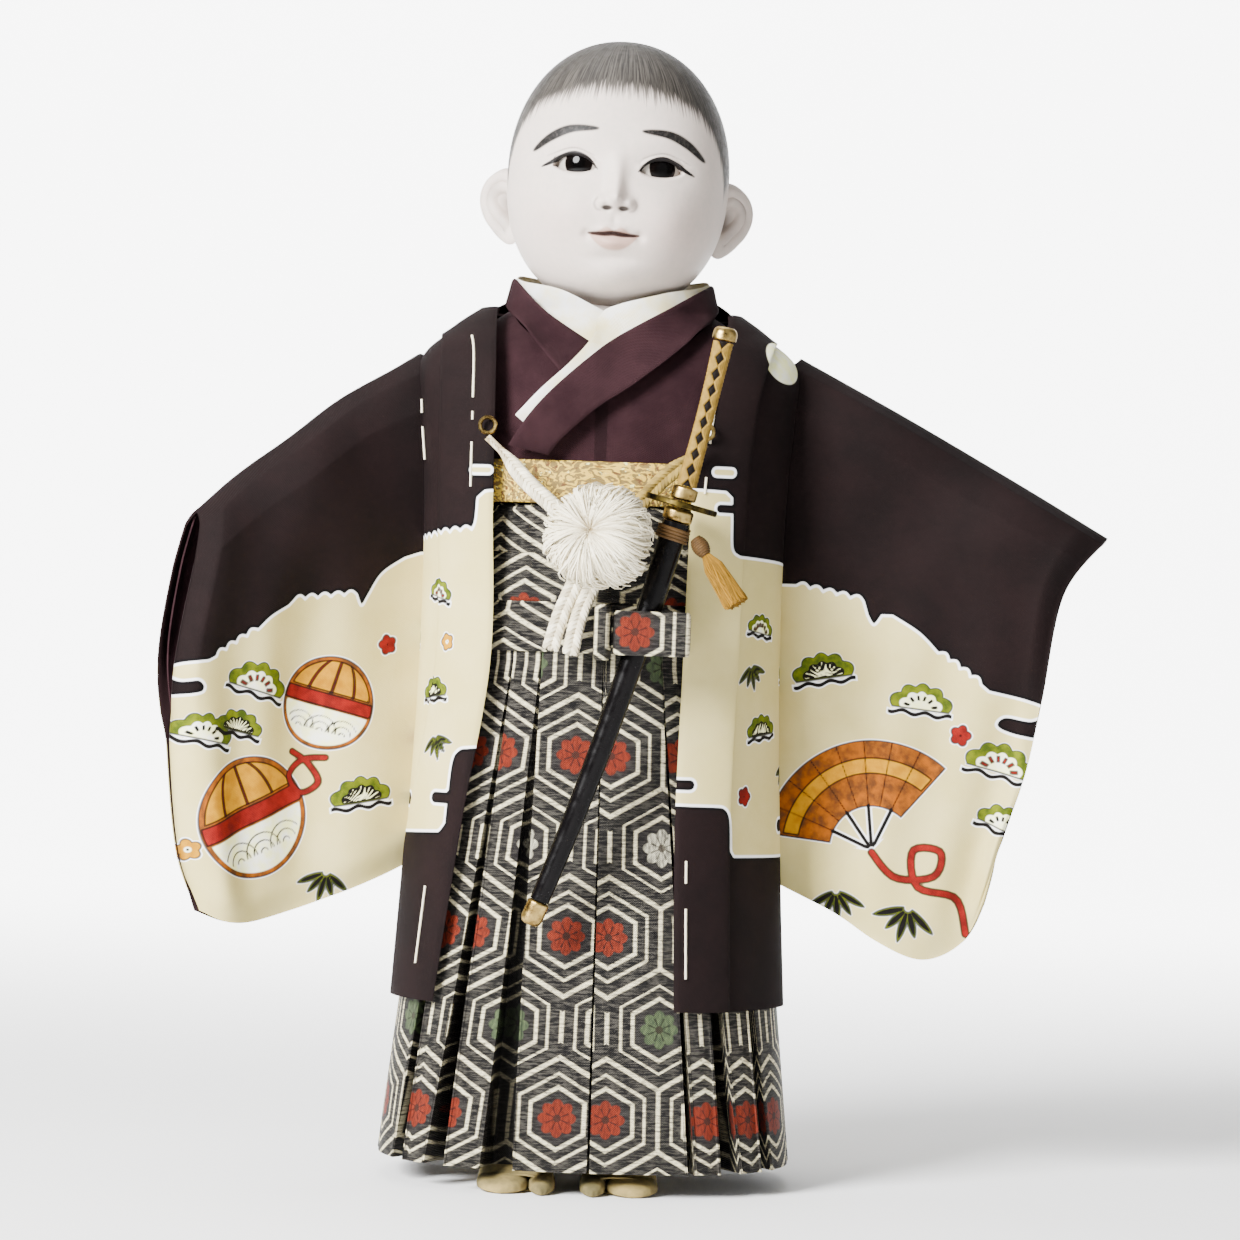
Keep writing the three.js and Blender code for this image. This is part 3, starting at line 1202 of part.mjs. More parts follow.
function softBox(x0, x1, y0, y1, radius, height) {
  const shape = new THREE.Shape();
  shape.moveTo(x0 + radius, y0);
  shape.lineTo(x1 - radius, y0);
  shape.quadraticCurveTo(x1, y0, x1, y0 + radius);
  shape.lineTo(x1, y1 - radius);
  shape.quadraticCurveTo(x1, y1, x1 - radius, y1);
  shape.lineTo(x0 + radius, y1);
  shape.quadraticCurveTo(x0, y1, x0, y1 - radius);
  shape.lineTo(x0, y0 + radius);
  shape.quadraticCurveTo(x0, y0, x0 + radius, y0);
  return new THREE.ExtrudeGeometry(shape, { depth: height, bevelEnabled: false, curveSegments: 4 });
}

function bowLoop() {
  const [y0, y1] = [bowCentre.y - bowHalfDepth, bowCentre.y + bowHalfDepth];
  const outside = softBox(bowLeft, bowLeft + BOW_LENGTH, y0, y1, 5, BOW_HEIGHT);
  const inside = softBox(
    bowLeft + BOW_CLOTH,
    bowLeft + BOW_LENGTH - BOW_CLOTH,
    y0 + BOW_CLOTH,
    y1 - BOW_CLOTH,
    3,
    BOW_HEIGHT + 2,
  ).translate(0, 0, -1);
  return cut(outside, inside).translate(0, 0, TIE_BOTTOM_HEIGHT);
}
piece("hakama_bow", bowLoop(), SILVER_BROCADE);
const tieFront = wrapPoint(hakama, stationAt(hakama, TIE_BOTTOM_HEIGHT), 0, CLOTH_GAP + TIE_THICKNESS).y;
const KNOT_WIDTH = 6.6;
const knotBox = softBox(
  bowLeft - SEAT_GAP - KNOT_WIDTH,
  bowLeft - SEAT_GAP,
  bowCentre.y - bowHalfDepth,
  tieFront - SEAT_GAP,
  3,
  BOW_HEIGHT + 4,
);
piece("hakama_knot", knotBox.translate(0, 0, TIE_BOTTOM_HEIGHT - 2), SILVER_BROCADE);

// Tassel beside the scabbard
const tassel = new THREE.Group();
const [tasselHook] = arcRing(WOUND_AT, scabbardWidth(WOUND_AT) + 2 * WOUND_CORD, 0, 1);
tasselHook.applyMatrix4(sword.matrix);
tassel.position.copy(tasselHook).add(vec(1.6, 0, 0));
tassel.rotation.set(radians(-12), radians(-32), 0);
doll.add(tassel);
const turned = (profile, sides) =>
  new THREE.LatheGeometry(profile.map(([r, z]) => new THREE.Vector2(r, z)), sides).rotateX(Math.PI / 2);
const TASSEL_KNOT_LENGTH = 7;
const tasselKnot = turned([
  [0, -TASSEL_KNOT_LENGTH],
  [1.8, -TASSEL_KNOT_LENGTH * 0.94],
  [2.9, -TASSEL_KNOT_LENGTH * 0.57],
  [2.4, -TASSEL_KNOT_LENGTH * 0.2],
  [1, 0.6],
  [0, 0.8],
], 12);
piece("tassel_knot", tasselKnot, TASSEL_SILK, tassel);
const tasselTop = -TASSEL_KNOT_LENGTH - SEAT_GAP;
piece(
  "tassel_skirt",
  turned([
    [0, tasselTop - TASSEL_LENGTH],
    [TASSEL_RADIUS, tasselTop - TASSEL_LENGTH],
    [TASSEL_RADIUS * 0.92, tasselTop - TASSEL_LENGTH * 0.6],
    [TASSEL_RADIUS * 0.62, tasselTop - TASSEL_LENGTH * 0.24],
    [TASSEL_RADIUS * 0.7, tasselTop - TASSEL_LENGTH * 0.1],
    [1.4, tasselTop],
    [0, tasselTop],
  ], 14),
  TASSEL_SILK,
  tassel,
);

// Coat ties: hooks on the coat's edges, cords, knot, tails and pompom
const KNOT_DEPTH = 4;
const KNOT_STANDOFF = 4.6;
const KNOT_RISE = 2.5;
const tieKnot = vec(POMPOM_X, tieFront - KNOT_DEPTH - KNOT_STANDOFF, POMPOM_HEIGHT + KNOT_RISE);
const knotBall = new THREE.SphereGeometry(1, 10, 8).scale(6, KNOT_DEPTH, 6.2);
piece("tie_knot", knotBall.translate(...tieKnot), CORD_SILK);

function hookCentre(edge, side) {
  const x = through(edge, stationAt(coat, HOOK_HEIGHT));
  const y = coatFace(x, HOOK_HEIGHT, collarLift) - SEAT_GAP - HOOK_WIRE / 2;
  return vec(x + side * HOOK_RADIUS, y, HOOK_HEIGHT);
}

// Each cord runs from under its hook to the side of the knot.
// Bends are [share of the way, aside, out, up] from the straight line between the two.
const TIE_SIDES = {
  left: {
    edge: LEFT_EDGE,
    side: 1,
    end: [6.9, 0, 3],
    bends: [[0.25, 0, 0.4, 1], [0.5, -0.4, 1.6, 1.3], [0.78, 0, 1.2, 0.5]],
  },
  right: {
    edge: RIGHT_EDGE,
    side: -1,
    end: [-6.5, 0, 1],
    bends: [[0.2, -0.2, -1.9, 0], [0.43, -0.2, -3.5, -1.9], [0.745, 0, -3, -1.5]],
  },
};
const UNDER_HOOK = [0.2, -3.7, -4.6];
for (const [name, { edge, side, end, bends }] of Object.entries(TIE_SIDES)) {
  const centre = hookCentre(edge, side);
  const hook = new THREE.TorusGeometry(HOOK_RADIUS, HOOK_WIRE / 2, 6, 14).rotateX(Math.PI / 2);
  piece(`coat_${name}_hook`, hook.translate(...centre), BRASS);
  const first = centre.clone().add(vec(...UNDER_HOOK));
  const last = tieKnot.clone().add(vec(...end));
  const bent = bends.map(([share, ...aside]) => first.clone().lerp(last, share).add(vec(...aside)));
  const route = [first, ...bent, last].map((point) => point.toArray());
  piece(`tie_${name}_cord`, cord(route, TIE_CORD_DIAMETER, 12), CORD_SILK);
}

// The tails hang from the knot; points are [aside, out, up] from its centre.
const TAILS = {
  left: [[2.9, 0, -7], [-1.5, -0.4, -18], [-6.1, -0.8, -30], [-8.8, -1, -43.5]],
  right: [[-3.1, 0, -7], [-7.9, -0.4, -18], [-12.7, -0.8, -30], [-15.9, -1, -42]],
};
for (const [name, points] of Object.entries(TAILS)) {
  const route = points.map((point) => tieKnot.clone().add(vec(...point)).toArray());
  piece(`tie_${name}_tail`, cord(route, TAIL_DIAMETER, 10), CORD_SILK);
}

// Silk pompom: a ball grooved by its bundles of thread.
const POMPOM_RINGS = 11;
const POMPOM_GROOVES = 12;
function pompom() {
  const rings = [];
  for (let k = 1; k < POMPOM_RINGS; k += 1) {
    const polar = (Math.PI * k) / POMPOM_RINGS;
    rings.push(
      Array.from({ length: 2 * POMPOM_GROOVES }, (_, i) => {
        const angle = (Math.PI * i) / POMPOM_GROOVES;
        const radius = POMPOM_RADIUS * (1 - (i % 2) * 0.05 * Math.sin(polar));
        return vec(
          radius * Math.sin(polar) * Math.cos(angle),
          radius * Math.cos(polar),
          radius * Math.sin(polar) * Math.sin(angle),
        );
      }),
    );
  }
  return loft(rings);
}
const pompomY = tieKnot.y - KNOT_DEPTH - SEAT_GAP - POMPOM_RADIUS * Math.cos(Math.PI / POMPOM_RINGS);
piece("tie_pompom", pompom().translate(POMPOM_X, pompomY, POMPOM_HEIGHT), CORD_SILK);

export default doll;
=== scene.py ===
import math

import bpy
import numpy as np
from mathutils import Matrix, Vector

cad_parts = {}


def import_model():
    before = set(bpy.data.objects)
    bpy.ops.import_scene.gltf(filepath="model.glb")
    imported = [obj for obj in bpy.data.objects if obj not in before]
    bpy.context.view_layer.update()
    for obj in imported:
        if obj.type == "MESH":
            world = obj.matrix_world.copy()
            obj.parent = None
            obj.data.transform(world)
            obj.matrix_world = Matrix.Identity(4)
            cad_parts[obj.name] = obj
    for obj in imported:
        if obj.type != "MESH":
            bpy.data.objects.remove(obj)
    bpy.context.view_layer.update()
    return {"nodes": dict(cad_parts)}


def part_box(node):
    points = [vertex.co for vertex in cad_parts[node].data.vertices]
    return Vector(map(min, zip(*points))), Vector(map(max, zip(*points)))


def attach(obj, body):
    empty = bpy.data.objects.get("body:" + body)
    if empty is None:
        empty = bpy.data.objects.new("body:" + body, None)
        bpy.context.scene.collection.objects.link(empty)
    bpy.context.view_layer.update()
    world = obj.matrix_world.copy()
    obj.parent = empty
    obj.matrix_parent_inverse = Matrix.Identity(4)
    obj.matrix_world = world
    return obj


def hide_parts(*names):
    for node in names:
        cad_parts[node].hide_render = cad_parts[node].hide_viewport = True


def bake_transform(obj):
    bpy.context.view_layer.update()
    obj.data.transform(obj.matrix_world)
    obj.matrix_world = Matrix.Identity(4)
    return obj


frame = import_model()

# All shapes are in mm in the doll's own frame: +Z up, front -Y, its left +X.
chest_low, chest_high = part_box("chest")
AXIS = np.array([500 * (chest_low[k] + chest_high[k]) for k in (0, 1)] + [0.0])
RNG = np.random.default_rng(7)


def world(points):
    return (np.asarray(points, float) + AXIS) / 1000


# Camera, at the photograph's place
ROLL = math.radians(2)
VIEW_FROM, VIEW_HALF_WIDE = [6.9, -1500, 206], 229.4
camera_data = bpy.data.cameras.new("photo_camera")
camera_data.angle = 2 * math.atan(VIEW_HALF_WIDE / -VIEW_FROM[1])
camera = bpy.data.objects.new("photo_camera", camera_data)
bpy.context.collection.objects.link(camera)
eye_x, eye_y, eye_z = world(VIEW_FROM)
camera.matrix_world = Matrix((
    (math.cos(ROLL), -math.sin(ROLL), 0, eye_x),
    (0, 0, -1, eye_y),
    (math.sin(ROLL), math.cos(ROLL), 0, eye_z),
    (0, 0, 0, 1),
))
bpy.context.scene.camera = camera


# Small number helpers
TO_BACK = np.array([0, 1, 0])


def shares(count):
    return np.linspace(0, 1, count)


def grid(columns, rows):
    """Shares across and along a sheet."""
    return shares(columns)[:, None], shares(rows)[None]


def stacked(*parts):
    """Points, or places on a cloth, from their coordinates."""
    return np.stack(np.broadcast_arrays(*parts), -1)


def lap_of(count):
    """Angles of a closed ring."""
    return np.linspace(0, 2 * np.pi, count, endpoint=False)


def signed_power(value, power):
    return np.sign(value) * np.abs(value) ** power


def bell(offset, width):
    return np.exp(-(offset / width) ** 2)


def roll_of(share, power):
    """Rise of a rolled cloth: 0 at both edges, 1 between them, squarer with a higher power."""
    return np.sqrt(np.clip(1 - np.abs(2 * share - 1) ** power, 0, 1))


def smooth(low, high, x):
    t = np.clip((np.asarray(x, float) - low) / (high - low), 0, 1)
    return t * t * (3 - 2 * t)


def lerp(a, b, t):
    return a + (b - a) * t


def unit(v):
    return v / np.maximum(np.linalg.norm(v, axis=-1, keepdims=True), 1e-9)


def through(stations, t):
    """Smooth curve through evenly spaced stations, numbers or points, at t from 0 to 1."""
    s = np.asarray(stations, float)
    last = len(s) - 1
    place = np.clip(np.asarray(t, float), 0, 1) * last
    k = np.minimum(np.floor(place).astype(int), last - 1)
    f = place - k
    if s.ndim > 1:
        f = f[..., None]
    a, b, c, d = (s[np.clip(k + o, 0, last)] for o in (-1, 0, 1, 2))
    return 0.5 * (2 * b + (c - a) * f + (2 * a - 5 * b + 4 * c - d) * f**2 + (3 * b - a - 3 * c + d) * f**3)


# Mesh helpers
def volume(verts, groups):
    v = verts - verts.mean(0)
    total = 0.0
    for g in groups:
        for k in range(1, g.shape[1] - 1):
            total += np.einsum("ij,ij->", v[g[:, 0]], np.cross(v[g[:, k]], v[g[:, k + 1]]))
    return total


def build(name, verts, faces, material, body, nodes=(), uv=None, layers=None, crease=40):
    """A piece from points in mm and one or more arrays of faces, riding on a body."""
    groups = [np.asarray(f, np.int32) for f in (faces if isinstance(faces, list) else [faces])]
    if volume(np.asarray(verts), groups) < 0:
        groups = [g[:, ::-1] for g in groups]
    index = np.concatenate([g.ravel() for g in groups])
    sizes = np.concatenate([np.full(len(g), g.shape[1], np.int32) for g in groups])
    mesh = bpy.data.meshes.new(name)
    mesh.vertices.add(len(verts))
    mesh.vertices.foreach_set("co", world(verts).astype(np.float32).ravel())
    mesh.loops.add(len(index))
    mesh.loops.foreach_set("vertex_index", index)
    mesh.polygons.add(len(sizes))
    mesh.polygons.foreach_set("loop_start", (np.cumsum(sizes) - sizes).astype(np.int32))
    mesh.polygons.foreach_set("use_smooth", np.ones(len(sizes), bool))
    if uv is not None:
        mesh.uv_layers.new(name="cloth").data.foreach_set("uv", np.asarray(uv, np.float32)[index].ravel())
    for key, values in (layers or {}).items():
        mesh.attributes.new(key, "FLOAT", "POINT").data.foreach_set(
            "value", np.asarray(values, np.float32).ravel())
    mesh.update(calc_edges=True)
    mesh.set_sharp_from_angle(angle=math.radians(crease))
    mesh.materials.append(material)
    piece = bpy.data.objects.new(name, mesh)
    bpy.context.collection.objects.link(piece)
    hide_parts(*nodes)
    if body:
        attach(piece, body)
    return piece


def grid_faces(nu, nv, ring=False):
    i = np.arange(nu if ring else nu - 1)[:, None]
    j = np.arange(nv - 1)[None, :]
    a = i * nv + j
    b = (i + 1) % nu * nv + j
    return np.stack([a, b, b + 1, a + 1], -1).reshape(-1, 4)


def normals(points, ring):
    du = np.roll(points, -1, 0) - np.roll(points, 1, 0) if ring else np.gradient(points, axis=0)
    return unit(np.cross(du, np.gradient(points, axis=1)))


def shell(points, thickness, ring=False, flip=False):
    """Sheet with thickness: the given face, a second one behind it and the rim between them."""
    nu, nv = points.shape[:2]
    turn = -1 if flip else 1
    inner = points - turn * normals(points, ring) * thickness
    count = nu * nv
    at = np.arange(count).reshape(nu, nv)
    outer = grid_faces(nu, nv, ring)
    edges = [(at[1:, 0], at[:-1, 0]), (at[:-1, -1], at[1:, -1])]
    if ring:
        edges += [(at[:1, 0], at[-1:, 0]), (at[-1:, -1], at[:1, -1])]
    else:
        edges += [(at[0, :-1], at[0, 1:]), (at[-1, 1:], at[-1, :-1])]
    rims = [np.stack([a, b, b + count, a + count], -1) for a, b in edges]
    faces = np.concatenate([outer, outer[:, ::-1] + count] + rims)
    verts = np.concatenate([points.reshape(-1, 3), inner.reshape(-1, 3)])
    return verts, faces[:, ::-1] if flip else faces


def twice(values):
    flat = np.asarray(values, float)
    flat = flat.reshape(-1, flat.shape[-1]) if flat.ndim > 2 else flat.reshape(-1)
    return np.concatenate([flat, flat])


def cloth_map(across, along):
    """Place on the cloth, in mm, for both faces of a shell."""
    return twice(stacked(across, along))


def spread(points):
    """Mean width and length of a grid of points, in metres."""
    across = np.linalg.norm(np.diff(points, axis=0), axis=-1).sum(0).mean()
    along = np.linalg.norm(np.diff(points, axis=1), axis=-1).sum(1).mean()
    return across / 1000, along / 1000


def tubes(paths, radii, sides, up):
    """Closed tubes along many paths of equal length at once: paths (n, m, 3), radii (n, m)."""
    paths = np.asarray(paths, float)
    n, m = paths.shape[:2]
    radii = np.broadcast_to(np.asarray(radii, float), (n, m))
    along = unit(np.gradient(paths, axis=1))
    side = unit(np.cross(along, np.broadcast_to(np.asarray(up, float), paths.shape)))
    other = np.cross(side, along)
    angle = lap_of(sides)
    ring = side[:, :, None] * np.cos(angle)[:, None] + other[:, :, None] * np.sin(angle)[:, None]
    verts = paths[:, :, None] + ring * radii[:, :, None, None]
    at = np.arange(n * m * sides).reshape(n, m, sides)
    nxt = np.roll(at, -1, 2)
    quads = np.stack([at[:, :-1], at[:, 1:], nxt[:, 1:], nxt[:, :-1]], -1).reshape(-1, 4)
    caps = np.concatenate([at[:, 0], at[:, -1, ::-1]])
    return verts.reshape(-1, 3), [quads, caps]


def merge(*parts):
    """One set of points and face groups from several."""
    verts, groups, start = [], [], 0
    for v, f in parts:
        verts.append(v)
        groups += [np.asarray(g) + start for g in (f if isinstance(f, list) else [f])]
        start += len(v)
    return np.concatenate(verts), groups


# Material helpers
# Screen greys, from 0 to 255, and the light shown as each of them
GREYS = [0, 3, 7, 15, 27, 42, 64, 96, 117, 136, 170, 196, 217, 233, 245, 255]
LIGHTS = [0, 0.002, 0.004, 0.008, 0.016, 0.03, 0.06, 0.12, 0.18, 0.25, 0.5, 1, 2, 4, 8, 16]
# Light that a white surface facing the viewer sends back in this studio
LIT = 3.6
TO_WIDE = np.array([[0.6274, 0.3293, 0.0433], [0.0691, 0.9195, 0.0113], [0.0164, 0.0880, 0.8956]])
INSET = np.array([[0.8566, 0.0951, 0.0483], [0.1373, 0.7612, 0.1014], [0.1119, 0.0768, 0.8113]])
OUTSET = np.array([[1.1271, -0.1106, -0.0165], [-0.1413, 1.1578, -0.0165], [-0.1413, -0.1106, 1.2519]])


def rgb(r, g, b):
    """Surface colour that comes out as this screen colour in the studio's light."""
    screen = np.array([r, g, b]) / 255
    linear = np.where(screen <= 0.04045, screen / 12.92, ((screen + 0.055) / 1.055) ** 2.4)
    curved = np.clip(np.linalg.inv(OUTSET) @ (TO_WIDE @ linear) ** (1 / 2.2), 0, 1) ** 2.2
    grey = np.where(curved <= 0.0031308, curved * 12.92, 1.055 * curved ** (1 / 2.4) - 0.055)
    light = np.interp(255 * grey, GREYS, LIGHTS)
    colour = np.linalg.inv(INSET @ TO_WIDE) @ light / LIT
    return (*(float(c) for c in np.clip(colour, 0.0004, 0.92)), 1)


class Paint:
    """Node tree of one material, with a short call for each kind of node."""

    def __init__(self, name, **sockets):
        self.material = bpy.data.materials.new(name)
        self.material.use_nodes = True
        self.tree = self.material.node_tree
        self.shader = self.tree.nodes["Principled BSDF"]
        for key, value in sockets.items():
            self.shader.inputs[key.replace("_", " ")].default_value = value

    def link(self, socket, value):
        if isinstance(value, bpy.types.NodeSocket):
            self.tree.links.new(value, socket)
        elif value is not None:
            socket.default_value = value

    def node(self, kind, *values, out=0, **settings):
        node = self.tree.nodes.new("ShaderNode" + kind)
        for key, value in settings.items():
            setattr(node, key, value)
        for socket, value in zip(node.inputs, values):
            self.link(socket, value)
        return node.outputs[out]

    def math(self, operation, *values):
        return self.node("Math", *values, operation=operation)

    def times(self, *values):
        return self.math("MULTIPLY", *values)

    def mix(self, share, a, b):
        return self.node("Mix", share, None, None, None, None, None, a, b, out=2, data_type="RGBA")

    def ramp(self, value, low, high, dark, light):
        return self.mix(self.range(value, low, high), dark, light)

    def split(self, vector):
        node = self.tree.nodes.new("ShaderNodeSeparateXYZ")
        self.link(node.inputs[0], vector)
        return node.outputs

    def range(self, value, low, high, start=0.0, end=1.0):
        return self.node("MapRange", value, low, high, start, end, interpolation_type="SMOOTHSTEP")

    def layer(self, name):
        return self.node("Attribute", out=2, attribute_name=name)

    def inside(self, name, soft, grow=0.0):
        """1 within a painted shape whose signed distance is stored on the mesh."""
        return self.range(self.layer(name), grow + soft, grow - soft)

    def noise(self, scale, vector, detail=2.0, rough=0.5):
        return self.node("TexNoise", vector, None, scale, detail, rough)

    def place(self, scale=(1, 1, 1)):
        coords = self.tree.nodes.new("ShaderNodeTexCoord").outputs["Object"]
        return self.node("Mapping", coords, None, None, scale)

    def cloth(self, scale=(1, 1, 1)):
        return self.node("Mapping", self.node("UVMap", uv_map="cloth"), None, None, scale)

    def colour(self, value):
        self.link(self.shader.inputs["Base Color"], value)

    def rough(self, value):
        self.link(self.shader.inputs["Roughness"], value)

    def bump(self, height, depth, strength=1.0):
        node = self.tree.nodes.new("ShaderNodeBump")
        node.inputs["Strength"].default_value = strength
        node.inputs["Distance"].default_value = depth
        self.link(node.inputs["Height"], height)
        self.link(self.shader.inputs["Normal"], node.outputs[0])

    def weave(self, pitch):
        """Height of a plain weave with that thread pitch, from the cloth's own mm."""
        at = self.split(self.cloth())
        return self.times(*(self.math("SINE", self.times(at[k], 2 * math.pi / pitch)) for k in (0, 1)))


def plain_cloth(name, dark, light, pitch=0.7, shine=0.12):
    """Woven cloth of one dye: uneven colour, thread bump and a little shine."""
    p = Paint(name, Roughness=0.85, Specular_IOR_Level=shine)
    mottled = p.noise(60, p.place(), 4, 0.6)
    p.colour(p.ramp(mottled, 0.3, 0.7, dark, light))
    p.bump(p.math("ADD", p.weave(pitch), p.times(p.noise(900, p.place()), 1.5)), 0.00012)
    return p.material


def metal(name, dark, light, rough=0.3):
    p = Paint(name, Metallic=1.0)
    worn = p.noise(180, p.place(), 6, 0.65)
    p.colour(p.ramp(worn, 0.35, 0.7, dark, light))
    p.rough(p.range(worn, 0.3, 0.8, rough - 0.08, rough + 0.15))
    p.bump(p.noise(700, p.place(), 3), 0.0002, 0.3)
    return p.material


def wood(name, dark, light):
    p = Paint(name, Roughness=0.65)
    grain = p.noise(30, p.place((6, 6, 0.5)), 5, 0.6)
    p.colour(p.ramp(grain, 0.35, 0.65, dark, light))
    p.bump(grain, 0.0004, 0.4)
    return p.material


def strand_cloth(name, dark, light):
    """Silk thread, darker or lighter by a value stored on the strands: a random tone for each strand, and in
    the pompom also a painted shade, darker deep in the bundle.
    """
    p = Paint(name, Roughness=0.6, Specular_IOR_Level=0.25)
    uneven = p.noise(240, p.place(), 2)
    p.colour(p.mix(p.math("MULTIPLY_ADD", uneven, 0.3, p.layer("shade")), dark, light))
    p.bump(p.noise(2500, p.place(), 1), 0.0001, 0.4)
    return p.material


def place_of(node):
    """Centre of a CAD node in the doll's frame, in mm."""
    low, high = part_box(node)
    return np.array([500 * (low[k] + high[k]) for k in range(3)]) - AXIS


def route(points, count):
    """Evenly spaced points on the smooth curve through these points."""
    fine = through(points, shares(800))
    reach = np.concatenate([[0], np.cumsum(np.linalg.norm(np.diff(fine, axis=0), axis=1))])
    at = np.linspace(0, reach[-1], count)
    return np.stack([np.interp(at, reach, fine[:, k]) for k in range(3)], -1)


def length_of(path):
    return np.linalg.norm(np.diff(path, axis=0), axis=1).sum()


CORD_ROWS, STRANDS = 120, 6


def braid(path, wide, deep, thread, pitch=9.0, out=(0, -1, 0)):
    """Flat braid along a path: each strand swings from edge to edge and over and under."""
    reach = np.linspace(0, length_of(path), len(path))
    along = unit(np.gradient(path, axis=0))
    side = unit(np.cross(along, np.asarray(out, float)))
    up = np.cross(side, along)
    lap = 2 * np.pi * (reach[None] / pitch + np.arange(STRANDS)[:, None] / STRANDS)
    lanes = path + side * (wide * np.sin(lap))[..., None] + up * (deep * np.sin(2 * lap))[..., None]
    return tubes(lanes, thread, 6, out)


def shade_of(verts, count, low, high):
    """One random shade for each of the equal strands a set of points is made of."""
    return np.repeat(RNG.uniform(low, high, count), len(verts) // count)


# Coat ties: cords, knot, tails and pompom
cord_silk = strand_cloth("cord_silk", (0.3, 0.23, 0.12, 1), (0.88, 0.81, 0.62, 1))
gold_cord = strand_cloth("gold_cord_silk", rgb(70, 46, 24), rgb(206, 184, 138))
knot = place_of("tie_knot")
UNDER_HOOK = np.array([0.2, -3.7, -4.6])
TIES = {
    "left": {
        "end": [6.9, 0, 3],
        "bends": [[0.25, 0, 0.4, 1], [0.5, -0.4, 1.6, 1.3], [0.78, 0, 1.2, 0.5]],
        "tail": [[2.9, 0, -7], [-1.5, -0.4, -18], [-6.1, -0.8, -30], [-8.8, -1, -43.5]],
    },
    "right": {
        "end": [-6.5, 0, 1],
        "bends": [[0.2, -0.2, -1.9, 0], [0.43, -0.2, -3.5, -1.9], [0.745, 0, -3, -1.5]],
        "tail": [[-3.1, 0, -7], [-7.9, -0.4, -18], [-12.7, -0.8, -30], [-15.9, -1, -42]],
    },
}


def tie_cord(name, points, node, silk, thin_start):
    path = route(points, CORD_ROWS)
    full = lerp(thin_start, 1.0, smooth(0.12, 0.36, shares(CORD_ROWS)))
    verts, faces = braid(path, 2.1 * full, 0.8 * full, 0.98 * full[None], pitch=10.0)
    shade = shade_of(verts, STRANDS, 0.2, 0.85).reshape(STRANDS, CORD_ROWS, -1) - 0.9 * (1 - full[:, None])
    piece = build(name, verts, faces, silk, "ties", [node], layers={"shade": shade})


for side, tie in TIES.items():
    first = place_of(f"coat_{side}_hook") + UNDER_HOOK
    last = knot + tie["end"]
    bent = [lerp(first, last, share) + aside for share, *aside in tie["bends"]]
    silk = gold_cord if side == "left" else cord_silk
    tie_cord(f"tie_{side}_braid", [first, *bent, last], f"tie_{side}_cord", silk, 0.42)
    tail = knot + np.array(tie["tail"])
    tie_cord(f"tie_{side}_tail_braid", tail, f"tie_{side}_tail", cord_silk, 1.0)

lap = np.linspace(0, 2 * np.pi, 160)
swell = 3.4 + 1.2 * np.cos(3 * lap)
wound = stacked(swell * np.cos(2 * lap), 2.1 * np.sin(3 * lap), swell * np.sin(2 * lap))
verts, faces = braid(wound + knot, 0.8, 0.4, 0.6, out=(0.1, -1, 0.2))
build("tie_knot_braid", verts, faces, cord_silk, "ties", ["tie_knot"],
      layers={"shade": shade_of(verts, STRANDS, 0.4, 0.7)})

pompom_at = place_of("tie_pompom")
pompom_low, pompom_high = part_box("tie_pompom")
POMPOM = 500 * (pompom_high[0] - pompom_low[0])
POMPOM_THREADS, POMPOM_CLUMPS, THREAD_ROWS = 1700, 52, 9
POMPOM_POLE = Vector((-0.3, -1, 0.22)).normalized()


def pompom(count, points):
    """Silk threads spread in clumps from the tied middle at the front round the ball."""
    clump = RNG.integers(0, POMPOM_CLUMPS, count)
    middle = np.sort(RNG.uniform(0, 2 * np.pi, POMPOM_CLUMPS))[clump]
    turn = middle + RNG.normal(0, 0.12, count)
    last = np.radians(RNG.uniform(60, 150, count))
    share = shares(points)[None]
    polar = np.radians(RNG.uniform(0, 9, count))[:, None] * (1 - share) + last[:, None] * share
    long = RNG.uniform(0.84, 1.0, POMPOM_CLUMPS)[clump] * RNG.uniform(0.8, 1.0, count)
    ball = POMPOM * long[:, None]
    reach = ball * (0.5 + 0.5 * np.sin(np.minimum(polar * 1.35, np.pi / 2)) ** 0.8)
    reach = reach * (1 + 0.04 * np.sin(7 * share + middle[:, None] * 5))
    bend = RNG.normal(0, 0.2, POMPOM_CLUMPS)[clump] + RNG.normal(0, 0.1, count)
    sway = turn[:, None] + bend[:, None] * share + 0.05 * np.sin(9 * share + turn[:, None])
    wide = reach * np.sin(polar)
    path = stacked(wide * np.cos(sway), -reach * np.cos(polar), wide * np.sin(sway))
    path = path @ np.array(Vector((0, -1, 0)).rotation_difference(POMPOM_POLE).to_matrix()).T
    return np.clip(path, -0.985 * POMPOM, 0.985 * POMPOM)


threads = pompom(POMPOM_THREADS, THREAD_ROWS)
thin = np.linspace(1, 0.75, THREAD_ROWS)[None] * RNG.uniform(0.26, 0.46, POMPOM_THREADS)[:, None]
verts, faces = tubes(threads + pompom_at, thin, 4, (0.13, 0.3, 0.9))
# Painted shade: threads darker deep in the ball and near the tied middle, with a random tone for each thread
depth = np.linalg.norm(threads, axis=-1) / POMPOM
shade = np.clip(1.5 * depth - 0.5, 0, 1) - 0.35 * smooth(0.25, 0.0, shares(THREAD_ROWS))
shade = np.repeat(shade + RNG.normal(0, 0.16, (POMPOM_THREADS, 1)), 4, axis=1)
piece = build("pompom_threads", verts, faces, cord_silk, "ties", ["tie_pompom"],
              layers={"shade": shade})
polar = np.linspace(0.01, np.pi - 0.01, 24)
lap = lap_of(36)[:, None]
heart = 0.4 * POMPOM * stacked(np.sin(polar) * np.cos(lap), -np.cos(polar), np.sin(polar) * np.sin(lap))
verts, faces = shell(heart + pompom_at, 1.0, ring=True)
